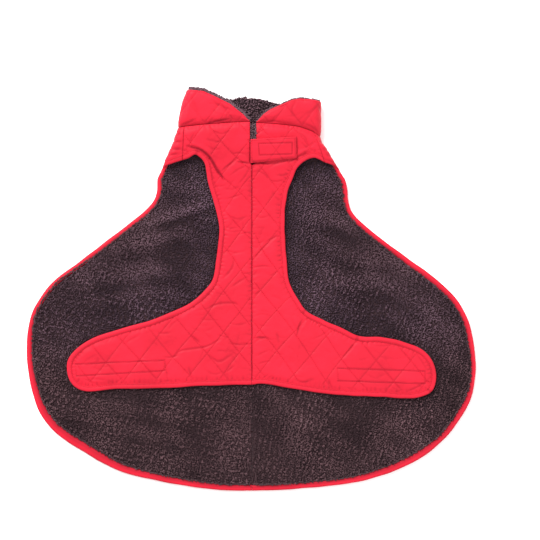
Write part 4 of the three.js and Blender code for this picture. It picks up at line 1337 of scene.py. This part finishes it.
def back_outline(side):
    edge = inset(back_edge(side, 3.0), BINDING_WIDTH - TUCKED)
    around, heights = seam_run(side, 2 - SEAM_GAP / 2 / NECK_REACH, shoulder_around(side))
    seam = np.column_stack([(2 - around) * section(side, heights)[2], heights])
    shoulder = shoulder_run(side, back_shoulder, edge[0][1])
    centre = even_run([(SEAM_GAP / 2, edge[-1][1]), (SEAM_GAP / 2, heights[0])], 6.0)
    return outline_of(seam[:-1], shoulder, edge, centre[1:-1])


def build_back(side, seed):
    outline = back_outline(side)
    rim = closed(outline, 1.5)
    run, _ = back_edge(side, 1.5)
    lattice = Lattice(QUILT_ORIGIN[side], seed)
    painted_shades = {}

    def outer(points):
        rim_apart, _ = near(points, rim)
        bound, _ = near(points, run)
        apart = np.clip(np.minimum(rim_apart, bound - BINDING_WIDTH), 0, None)
        _, groove = quilt_height(points, lattice, QUILT_PUFF)
        radius, flat, fold = section(side, points[:, 1])
        wrapped = np.clip((points[:, 0] - flat) / radius, 0, math.pi) / math.pi
        sewn = 0.6 * groove * smoothstep(apart, 0, 4)
        on_front = np.column_stack([2 * fold - points[:, 0], points[:, 1]])
        creased = crease_field(on_front, SHOULDER_CREASES[side])
        # Painted shade along the stitch lines and in the shoulder creases
        painted_shades["values"] = np.clip(0.4 * groove + CREASE_SHADE * wrapped * np.clip(creased, 0, 2), 0, 1)
        rumpled = 0.3 * soft_waves(points[:, 0] * 0.4, points[:, 1], seed, 13) + creased
        at_binding = bound - BINDING_WIDTH < rim_apart + 0.5
        roll = np.where(at_binding, TUCKED_DEPTH, 0.5 * wrapped) * np.exp(-apart / 1.5)
        eased = rumpled * wrapped * smoothstep(apart, 0, 4)
        return lay(side, points[:, 0], points[:, 1], np.minimum(sewn + eased + roll, 1.4))

    def inner(points):
        return lay(side, points[:, 0], points[:, 1], SHELL_THICKNESS + 0.1)

    mesh = quilt_mesh_points(outline, lattice, 7)
    mesh = mesh[mesh[:, 1] < FOLD_MESH_LOW]
    bends = []
    for y in np.arange(FOLD_MESH_LOW, FOLD_MESH_HIGH, 1.8):
        reaches = fold_reaches(side, y, PAST_EDGE, 8)
        bends.append(np.column_stack([reaches, np.full(len(reaches), y)]))
    bends = np.vstack(bends)
    places, faces = cloth_wall(
        outline, np.vstack([mesh, bends]), bends[::3], 1.0, outer, inner)
    groove = on_outer_face(painted_shades["values"], places)
    piece = add_mesh(f"back_cloth_{side}", places, faces, shell_cloth, {"groove": groove})
    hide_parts(f"back_shell_{side}")


# Pile lining

def fold_height(side, points):
    height = np.zeros(len(points))
    for start, end, rise, width in LINING_FOLDS[side]:
        start, end = np.array(start, float), np.array(end, float)
        along = end - start
        share = np.clip((points - start) @ along / (along @ along), 0, 1)
        offset = np.linalg.norm(points - start - share[:, None] * along, axis=1) / width
        taper = 0.35 + 0.65 * np.sin(math.pi * np.clip(share, 0, 1))
        height = np.maximum(height, rise * taper * np.exp(-offset**2))
    return height


def lining_outline(side):
    edge = inset(back_edge(side, 4.0), BINDING_WIDTH + 0.9)
    edge = edge[edge[:, 1] < FOLD_Y]
    top_y = float(seam_y(side, 1.2)) - SEAM_GAP / 2
    heights = np.arange(top_y, 192, -6.0)
    radius, flat, _ = section(side, heights)
    down = np.column_stack([flat + 0.8 * radius, heights])
    start = (SEAM_GAP / 2, float(seam_y(side, 2)) - SEAM_GAP / 2)
    seam = even_run([start, down[0]], 6.0)
    around = 2 - seam[:, 0] / float(section(side, top_y)[2])
    seam[:, 1] = np.minimum(seam[:, 1], seam_y(side, around) - SEAM_GAP / 2)
    centre = even_run([(SEAM_GAP / 2, edge[-1][1]), start], 8.0)
    return outline_of(seam, down[1:], edge, centre[1:-1])


class LiningFace:
    """The pile lining's face: its height over the back panel, with folds clear of the chest."""

    def __init__(self, side, seed):
        self.side = side
        self.seed = seed
        self.outline = lining_outline(side)
        self.rim = closed(self.outline, 1.5)
        run, _ = chest_edge(side, 3.0)
        self.chest = outline_of(run, np.array([(0, FOLD_Y), (0, FOLD_Y - 1)]))

    def from_chest(self, points):
        """Distance out from the chest piece's edge, below 0 under it."""
        apart, _ = near(points, closed(self.chest, 1.5))
        return np.where(is_inside(points, self.chest), -apart, apart)

    def depth(self, points, from_chest):
        apart, _ = near(points, self.rim)
        clear = smoothstep(from_chest, 2, 16) * smoothstep(apart, 0, 12)
        waves = 0.5 * soft_waves(points[:, 0], points[:, 1], self.seed, 46)
        return LINING_FACE + (fold_height(self.side, points) + waves) * clear

    def nap(self, points, from_chest):
        """How much lighter or darker the pile looks: by its nap, painted light on its fold tops, painted
        shade below them and the chest's painted shadow.
        """
        x, y = points[:, 0], points[:, 1]
        clouds = 0.30 * soft_waves(x, y, self.seed + 50, 120)
        clouds += 0.22 * soft_waves(x, y, self.seed + 51, 40)
        # Painted light on the fold tops, painted shade on their lower sides and a painted shadow beside
        # the chest piece
        lit_crests = fold_height(self.side, points) / 4
        below = fold_height(self.side, points + (0, 11)) / 4
        shaded = 0.55 * np.exp(-np.clip(from_chest, 0, None) / 14)
        return clouds + 1.1 * lit_crests - 1.0 * below * (1 - lit_crests) - shaded

    def places(self, points):
        depth = self.depth(points, self.from_chest(points))
        return lay(self.side, points[:, 0], points[:, 1], depth)


def tuft_mesh(name, roots, normals, leans, heights, radii, shades, cool_shade_amounts, seed):
    """Curls of pile as one mesh: each a bent, bulging three-sided lock with a closed foot."""
    rng = np.random.default_rng(seed)
    count = len(roots)
    first = np.cross(normals, leans)
    size = np.linalg.norm(first, axis=1)
    first = np.where(size[:, None] > 1e-6, first / np.maximum(size, 1e-6)[:, None], (1.0, 0, 0))
    second = np.cross(normals, first)
    spin = rng.uniform(0, 2 * math.pi, count)
    rings = []
    for rise, wide, bend in ((-0.2, 0.9, 0.0), (0.55, 1.1, 0.4)):
        centre = roots + normals * (heights * rise)[:, None] + leans * (bend * heights)[:, None]
        for corner in range(3):
            angle = spin + corner * 2 * math.pi / 3 + 1.2 * rise
            out = first * np.cos(angle)[:, None] + second * np.sin(angle)[:, None]
            rings.append(centre + out * (radii * wide)[:, None])
    tip = roots + normals * heights[:, None] + leans * (1.1 * heights)[:, None]
    places = np.stack([*rings, tip], axis=1).reshape(-1, 3)
    one = [(0, 2, 1)]
    for k in range(3):
        n = (k + 1) % 3
        one += [(k, n, 3 + n), (k, 3 + n, 3 + k), (3 + k, 3 + n, 6)]
    faces = (np.array(one)[None] + 7 * np.arange(count)[:, None, None]).reshape(-1, 3)
    # Painted shade: each lock darker at its foot; the per-lock value also carries the pile's own tone
    # and its painted light and shade
    along = np.array([0.2, 0.2, 0.2, 0.72, 0.72, 0.72, 1.0])
    curl_tone_and_shade = (along[None] * (0.25 + 0.75 * shades[:, None])).ravel()
    attributes = {"curl_tone_and_shade": curl_tone_and_shade, "cool_shade": np.repeat(cool_shade_amounts, len(along))}
    return add_mesh(name, places, faces, fleece, attributes)


def normals_of(roots, over):
    normals = over - roots
    return normals / np.linalg.norm(normals, axis=1)[:, None]


def scattered(outline, pitch, seed):
    """An uneven spread of points over an outline's box."""
    rng = np.random.default_rng(seed)
    points = staggered(outline, pitch)
    return points + rng.uniform(-0.42 * pitch, 0.42 * pitch, points.shape)


def leans_at(places, seed, normals, strength):
    """Which way the nap leans: the same way over a few curls, and turning over the coat."""
    x, y = places[:, 0], places[:, 1]
    turn = 2.2 * soft_waves(x, y, seed, 90) + 2.0 * soft_waves(x, y, seed + 1, 13)
    flat = np.stack([np.cos(turn), np.sin(turn), 0 * turn], axis=-1) * strength[:, None]
    return flat - normals * np.sum(flat * normals, axis=1)[:, None]


def edge_curls(side, seed):
    """A ragged row of curls that leans out over the binding all along the lining's edge."""
    run, inward = back_edge(side, 1.1)
    flat_part = (run[:, 1] < FOLD_Y - 6) & (run[:, 0] > 3)
    run, inward = run[flat_part], inward[flat_part]
    rng = np.random.default_rng(seed)
    back = binding_shown(side, run[:, 1]) + rng.uniform(1.2, 3.6, len(run))
    at = run + inward * back[:, None]
    depth = BINDING_DEPTH + rng.uniform(-0.5, 0.3, len(run))
    roots = lay(side, at[:, 0], at[:, 1], depth)
    normals = np.tile((0, 0, 1.0), (len(roots), 1))
    outwards = np.column_stack([-SIGN[side] * inward[:, 0], -inward[:, 1], np.zeros(len(run))])
    along = np.column_stack([-outwards[:, 1], outwards[:, 0], np.zeros(len(run))])
    leans = outwards * rng.uniform(0.2, 1.0, len(run))[:, None]
    leans += along * rng.uniform(-0.7, 0.7, len(run))[:, None]
    heights = 2.0 * rng.uniform(0.7, 1.3, len(run))
    return roots, normals, leans, heights


def build_lining(side, seed):
    face = LiningFace(side, seed)
    outline = face.outline

    def under(points):
        eased = LINING_BASE + FOLD_EASE * fold_share(side, points[:, 0], points[:, 1])
        return lay(side, points[:, 0], points[:, 1], eased)

    places, faces = cloth_wall(
        outline, staggered(outline, 4.0), staggered(outline, 24), 1.8, face.places, under)
    piece = add_mesh(f"lining_cloth_{side}", places, faces, fleece_back)
    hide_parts(f"back_lining_{side}")

    spread = scattered(outline, TUFT_PITCH, seed + 1)
    from_edge, _ = near(spread, back_edge(side, 1.5)[0])
    beside_binding = from_edge > binding_shown(side, spread[:, 1]) + 2.4
    beside_seam = spread[:, 0] > 0.7
    below_top = spread[:, 1] < PILE_TOP
    spread = spread[is_inside(spread, outline) & below_top & beside_seam & beside_binding]
    from_chest = face.from_chest(spread)
    spread = spread[from_chest > -2.5]
    from_chest = from_chest[from_chest > -2.5]
    depth = face.depth(spread, from_chest)
    roots = lay(side, spread[:, 0], spread[:, 1], depth)
    normals = normals_of(roots, lay(side, spread[:, 0], spread[:, 1], depth + 1.0))
    rng = np.random.default_rng(seed + 2)
    count = len(roots)
    clump = soft_waves(spread[:, 0], spread[:, 1], seed + 6, 7.5, 7)
    matted = smoothstep(soft_waves(spread[:, 0], spread[:, 1], seed + 60, 110), -0.5, 0.9)
    matted = np.where(spread[:, 1] < 20, 0.4 + 0.6 * matted, matted)
    matted *= 1 - 0.7 * smoothstep(spread[:, 1], 0, 80)
    heights = TUFT_HEIGHT * rng.uniform(0.86, 1.06, count)
    heights *= np.clip(1 + (0.2 + 0.55 * matted) * clump, 0.25, 1.8)
    heights *= np.where(from_chest < 1.5, 0.35, 1.0) * (1 - 0.8 * np.exp(-spread[:, 0] / 1.3))
    leans = leans_at(roots, seed + 3, normals, rng.uniform(0.2, 0.9, count))
    edge_roots, edge_normals, edge_leans, edge_heights = edge_curls(side, seed + 5)
    roots = np.vstack([roots, edge_roots])
    normals = np.vstack([normals, edge_normals])
    leans = np.vstack([leans, edge_leans])
    heights = np.concatenate([heights, edge_heights])
    radii = TUFT_RADIUS * rng.uniform(0.75, 1.2, len(roots))
    shades = np.full(len(roots), 0.55)
    # The nap adds painted light and shade from the folds and the chest's painted shadow; the clumps are
    # the pile's own uneven tone
    shades[:count] += face.nap(spread, from_chest)
    shades[:count] += (0.14 + 0.45 * matted) * clump
    shades[count:] += 0.3 * soft_waves(edge_roots[:, 0], edge_roots[:, 1], seed + 6, 7.5, 7)
    shades[count:] += rng.uniform(-0.25, 0.25, len(edge_roots))
    shades = np.clip(shades + rng.uniform(-0.1, 0.1, len(roots)), 0, 2.2)
    cool_shade_amounts = np.zeros(len(roots))
    # Painted shade: a bluish cast on the lining near the chest piece, fading out towards the hem
    cool_shade_amounts[:count] = np.exp(-np.clip(from_chest, 0, None) / 110) * smoothstep(spread[:, 1], -150, -20)
    for half, chosen in (("upper", roots[:, 1] >= -60), ("lower", roots[:, 1] < -60)):
        tuft_mesh(
            f"pile_curls_{half}_{side}", roots[chosen], normals[chosen], leans[chosen],
            heights[chosen], radii[chosen], shades[chosen], cool_shade_amounts[chosen], seed + 4)


# Collar

def collar_top(side, around):
    """Height of the collar's free edge at a share of the way round."""
    y = np.full(np.shape(around), 285.0)
    for _ in range(4):
        fold = section(side, y)[2]
        front = np.interp(around * fold, *np.array(COLLAR_FRONT[side]).T)
        back = np.interp(np.abs(2 - around) * fold, *np.array(COLLAR_BACK[side]).T)
        share = smoothstep(around, 0.97, 1.03)
        y = front * (1 - share) + back * share
    return y


def collar_grid(side, start_reach, rim, rows, columns):
    """Reach and height of a grid of points over the collar, from its seam to its free edge."""
    fold = float(section(side, 250)[2])
    start = 2 - start_reach / fold
    end = COLLAR_FRONT[side][0][0] / fold
    around = np.linspace(start, end, columns)
    low = seam_y(side, around) + SEAM_GAP / 2
    high = np.maximum(collar_top(side, around), low + 2.5) + rim
    share = np.linspace(0, 1, rows)[:, None]
    y = low + (high - low) * share
    reach = (2 - around) * section(side, y)[2]
    reach[:, 0] = start_reach
    return reach, y, around * np.ones_like(y), share * np.ones_like(y)


def build_collar(side, seed):
    rows, columns = 34, 240
    reach, y, around, share = collar_grid(side, SEAM_GAP / 2, 0, rows, columns)
    fold = section(side, y)[2]
    pattern = np.column_stack([(around * fold).ravel(), y.ravel()])
    lattice = Lattice(COLLAR_QUILT_ORIGIN[side], seed)
    puffed, groove = quilt_height(pattern, lattice, 1.1)
    small = stitch_wrinkles(np.array(COLLAR_FACE, float), lattice, COLLAR_WRINKLES)
    creases = crease_field(pattern, COLLAR_CREASES[side] + small).reshape(y.shape)
    front = smoothstep(1.12 - around, 0, 0.2)
    height = y.max(axis=0) - y.min(axis=0)
    from_edge = np.minimum(share, 1 - share) * height
    from_end = (around - around.min()) * NECK_REACH
    apart = np.minimum(from_edge, from_end)
    fade = smoothstep(apart, 0, 6)
    roll = np.where(share < 0.5, 1.5, 0.9) * np.exp(-apart / 1.3)
    waves = 0.35 * soft_waves(pattern[:, 0], pattern[:, 1], seed, 30).reshape(y.shape)
    creased = creases * smoothstep(apart, 0, 2)
    pillows = (waves - puffed.reshape(y.shape)) * fade
    depth = (creased + pillows) * front + roll * (0.3 + 0.7 * front)
    outer = lay(side, reach, y, depth)
    inner = lay(side, reach, y, COLLAR_THICKNESS - 0.5 * roll)
    places, faces = row_wall(outer, inner)
    values = np.zeros(len(places))
    # Painted shade along the stitch lines, in the creases and beside the collar seam
    shaded = CREASE_SHADE * np.clip(creases, 0, 2) * front + 0.8 * (share < 0.5) * np.exp(-apart / 1.3) * front
    values[: y.size] = np.clip(0.42 * groove * (fade * front).ravel() + shaded.ravel(), 0, 1)
    piece = add_mesh(f"collar_cloth_{side}", places, faces, shell_cloth, {"groove": values})
    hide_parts(f"collar_{side}")

    def on_face(points):
        return lay_front(side, points[:, 0], points[:, 1], np.full(len(points), -0.1))

    edge_line = np.column_stack([(around * fold)[-1], y[-1] - 2.2])
    shown = (around[-1] < 1.0) & (around[-1] > 0.12)
    topstitch = stitches(f"collar_stitches_{side}", [edge_line[shown]], on_face, thread)


def build_collar_lining(side, seed):
    start = SIGN[side] * COLLAR_LINING_SEAM + SEAM_GAP / 2
    reach, y, _, _ = collar_grid(side, start, LINING_RIM[side] - 0.8, 16, 110)
    eased = FOLD_EASE * fold_share(side, reach, y)
    base = COLLAR_THICKNESS + SEAM_GAP
    outer = lay(side, reach, y, base + eased)
    face_depth = base + COLLAR_LINING_THICKNESS + eased
    inner = lay(side, reach, y, face_depth)
    places, faces = row_wall(outer, inner)
    piece = add_mesh(f"collar_lining_cloth_{side}", places, faces, fleece_back)
    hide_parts(f"collar_lining_{side}")
    outline = np.column_stack([border_of(reach), border_of(y)])
    spread = scattered(outline, 2.9, seed)
    spread = spread[is_inside(spread, outline)]
    rng = np.random.default_rng(seed + 1)
    eased = FOLD_EASE * fold_share(side, spread[:, 0], spread[:, 1])
    depth = base + COLLAR_LINING_THICKNESS + eased
    roots = lay(side, spread[:, 0], spread[:, 1], depth)
    normals = normals_of(roots, lay(side, spread[:, 0], spread[:, 1], depth + 1.0))
    leans = leans_at(roots, seed, normals, rng.uniform(0.3, 1.0, len(roots)))
    clump = soft_waves(roots[:, 0], roots[:, 1], seed + 6, 7.5, 7)
    heights = 3.4 * rng.uniform(0.7, 1.1, len(roots)) * np.clip(1 + 0.45 * clump, 0.3, 1.6)

    rim = even_run(np.column_stack([reach[-1], y[-1]]), 1.1)
    rim_depth = base + COLLAR_LINING_THICKNESS * rng.uniform(0.25, 1.0, len(rim))
    rim_roots = lay(side, rim[:, 0], rim[:, 1] - 0.8, rim_depth)
    rim_normals = np.tile((0, 1.0, 0), (len(rim), 1))
    rim_leans = np.column_stack([
        rng.uniform(-0.6, 0.6, len(rim)), np.zeros(len(rim)), rng.uniform(-0.3, 0.5, len(rim)),
    ])
    rim_heights = (1.6 + 0.35 * LINING_RIM[side]) * rng.uniform(0.5, 1.2, len(rim))

    rows = 1 + round(LINING_RIM[side])
    strip = np.repeat(rim, rows, axis=0)
    on_front = strip[:, 0] > section(side, strip[:, 1])[2]
    strip = strip[on_front] - np.column_stack([
        rng.uniform(-0.6, 0.6, on_front.sum()), rng.uniform(-0.4, LINING_RIM[side], on_front.sum()),
    ])
    strip_roots = lay(side, strip[:, 0], strip[:, 1], np.full(len(strip), base + 0.3))
    strip_normals = np.tile((0, 0, 1.0), (len(strip), 1))
    strip_leans = np.column_stack([
        rng.uniform(-0.5, 0.7, len(strip)), rng.uniform(0.1, 1.1, len(strip)), np.zeros(len(strip)),
    ])
    strip_heights = 2.7 * rng.uniform(0.5, 1.1, len(strip))
    roots = np.vstack([roots, rim_roots, strip_roots])
    normals = np.vstack([normals, rim_normals, strip_normals])
    leans = np.vstack([leans, rim_leans, strip_leans])
    heights = np.concatenate([heights, rim_heights, strip_heights])
    radii = TUFT_RADIUS * rng.uniform(0.75, 1.2, len(roots))
    mottled = 1.3 + 0.25 * np.resize(clump, len(roots)) + rng.uniform(-0.3, 0.3, len(roots))
    flap_edge = even_run(smooth_run(COLLAR_FRONT[side], 1.5), 1.0)
    from_edge, _ = near(np.abs(roots[:, :2]), flap_edge)
    # Painted light: the locks along the flap's free edge are made lighter
    mottled += FLAP_RIM_PAINTED_LIGHT[side] * np.exp(-((from_edge / 4.5) ** 2))
    shades = np.clip(mottled, 0.2, 2.6)
    curls = tuft_mesh(
        f"collar_curls_{side}", roots, normals, leans, heights, radii, shades,
        np.full(len(roots), 0.3), seed + 2)


# Neck opening and tab

def build_placket(seed):
    low, high = OPENING_BOTTOM + 2, float(seam_y("right", 0)) - 0.6
    left, right = 0.4 - OPENING_EDGE["left"], OPENING_EDGE["right"] - 0.4
    outline = outline_of(even_run(
        [(left, low), (right, low), (right, high), (left, high), (left, low)], 2.0)[:-1])

    def outer(points):
        return lay_front("right", points[:, 0], points[:, 1], np.full(len(points), 1.4))

    def inner(points):
        return lay_front("right", points[:, 0], points[:, 1], np.full(len(points), 4.3))

    places, faces = cloth_wall(
        outline, staggered(outline, 2.5), staggered(outline, 5), 1.0, outer, inner)
    piece = add_mesh("placket_cloth", places, faces, fleece_back)
    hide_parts("placket")
    spread = scattered(outline, 2.0, seed)
    spread = spread[is_inside(spread, outline) & (spread[:, 1] > 220)]
    roots = outer(spread)
    normals = np.tile((0, 0, 1.0), (len(roots), 1))
    rng = np.random.default_rng(seed)
    leans = leans_at(roots, seed, normals, rng.uniform(0.4, 1.0, len(roots)))
    leans[:, 0] += np.where(spread[:, 0] > 2, 0.5, -0.2)
    heights = 2.4 * rng.uniform(0.6, 1.1, len(roots))
    radii = 0.95 * rng.uniform(0.8, 1.2, len(roots))
    shades = rng.uniform(1.5, 2.4, len(roots))
    curls = tuft_mesh("placket_curls", roots, normals, leans, heights, radii, shades,
                      np.full(len(roots), 0.2), seed + 1)


def build_tab(seed):
    corners = np.array(TAB_CORNERS)
    outline = outline_of(closed(corners, 1.6)[:-1])
    rim = closed(outline, 0.6)
    lattice = Lattice(TAB_QUILT_ORIGIN, seed)
    painted_shades = {}

    def depth(points):
        apart, nearest = near(points, rim)
        sewn = np.maximum(box_groove(points, TAB_BOX), np.exp(-((apart - 2.2) / 0.9) ** 2) * 0.6)
        _, groove = quilt_height(points, lattice, 1.0)
        crown = 0.45 * smoothstep(apart, 0, 3)
        roll = 0.8 * np.exp(-apart / 0.6)
        waves = 0.25 * soft_waves(points[:, 0], points[:, 1], seed, 22)
        puckers = seam_puckers(rim, apart, nearest, seed, 4, 0.3)
        top = -TAB_RELEASE - TAB_THICKNESS
        # Painted shade along the stitch lines and the stitched box
        lines = np.clip(0.5 * groove + 0.7 * sewn, 0, 1)
        return top - crown + roll + 0.7 * sewn + 0.35 * groove + waves + puckers, lines

    def outer(points):
        values, lines = depth(points)
        painted_shades["values"] = lines
        return lay_front("right", points[:, 0], points[:, 1], values)

    def inner(points):
        return lay_front("right", points[:, 0], points[:, 1], np.full(len(points), -TAB_RELEASE))

    places, faces = cloth_wall(
        outline, staggered(outline, 1.2), staggered(outline, 6), 0.6, outer, inner)
    groove = on_outer_face(painted_shades["values"], places)
    piece = add_mesh("neck_tab_cloth", places, faces, shell_cloth, {"groove": groove})
    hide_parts("neck_tab")

    def on_face(points):
        return lay_front("right", points[:, 0], points[:, 1], depth(points)[0] - 0.12)

    middle = corners.mean(axis=0)
    topstitch = middle + (corners - middle) * np.array([0.94, 0.87])
    runs = [np.array([*TAB_BOX, TAB_BOX[0]]), np.vstack([topstitch, topstitch[:1]])]
    sewn = stitches("neck_tab_stitches", runs, on_face, thread, 2.6, 1.9)


# Hook tapes keep their frame nodes and take a woven finish

def finish_tapes():
    for node in ("wing_tape_left", "wing_tape_right", "neck_tab_tape"):
        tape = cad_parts[node]
        tape.data.materials.clear()
        tape.data.materials.append(plain_cloth)


# Studio

def build_studio():
    half = 12.0
    mesh = bpy.data.meshes.new("studio_floor")
    mesh.from_pydata([(-half, -half, 0), (half, -half, 0), (half, half, 0), (-half, half, 0)],
                     [], [(0, 1, 2, 3)])
    mesh.materials.append(floor_material())
    floor = bpy.data.objects.new("studio_floor", mesh)
    floor.location.z = -0.0006
    bpy.context.scene.collection.objects.link(floor)

    world = bpy.data.worlds.new("soft_room")
    bpy.context.scene.world = world
    world.use_nodes = True
    background = world.node_tree.nodes["Background"]
    background.inputs["Color"].default_value = (1.0, 1.0, 1.0, 1)
    background.inputs["Strength"].default_value = 0.88

    def softbox(name, place, size, energy):
        light = bpy.data.lights.new(name, "AREA")
        light.shape = "SQUARE"
        light.size = size
        light.energy = energy
        lamp = bpy.data.objects.new(name, light)
        lamp.location = place
        direction = -np.array(place)
        yaw = math.atan2(direction[1], direction[0])
        pitch = math.acos(-direction[2] / np.linalg.norm(direction))
        lamp.rotation_euler = (pitch, 0, yaw - math.pi / 2)
        bpy.context.scene.collection.objects.link(lamp)

    softbox("key_softbox", (-1.8, 2.7, 3.0), 2.1, 330)
    softbox("fill_softbox", (2.4, -1.0, 3.4), 3.0, 80)


def build_camera():
    photo_scale = 1.5
    photo_px = 540
    middle_px = (270, 270)
    centre_px = (252, 290)
    distance = 4.0
    sensor = 36.0
    width = photo_px * photo_scale * MM
    camera = bpy.data.cameras.new("photo_camera")
    camera.sensor_width = sensor
    camera.lens = sensor * distance / width
    camera.clip_end = 20
    view = bpy.data.objects.new("photo_camera", camera)
    x = (middle_px[0] - centre_px[0]) * photo_scale * MM + SHIFT_X
    y = (centre_px[1] - middle_px[1]) * photo_scale * MM + SHIFT_Y
    view.location = (x, y, distance)
    bpy.context.scene.collection.objects.link(view)
    bpy.context.scene.camera = view
    bpy.context.scene.view_settings.view_transform = "Standard"


build_studio()
build_camera()
for number, side in enumerate(SIDES):
    seed = 40 * (number + 1)
    build_back(side, seed)
    build_lining(side, seed + 7)
    build_back_binding(side, seed + 11)
    build_chest(side, seed + 13)
    build_chest_binding(side, seed + 17)
    build_collar(side, seed + 19)
    build_collar_lining(side, seed + 23)
build_placket(211)
build_tab(223)
finish_tapes()
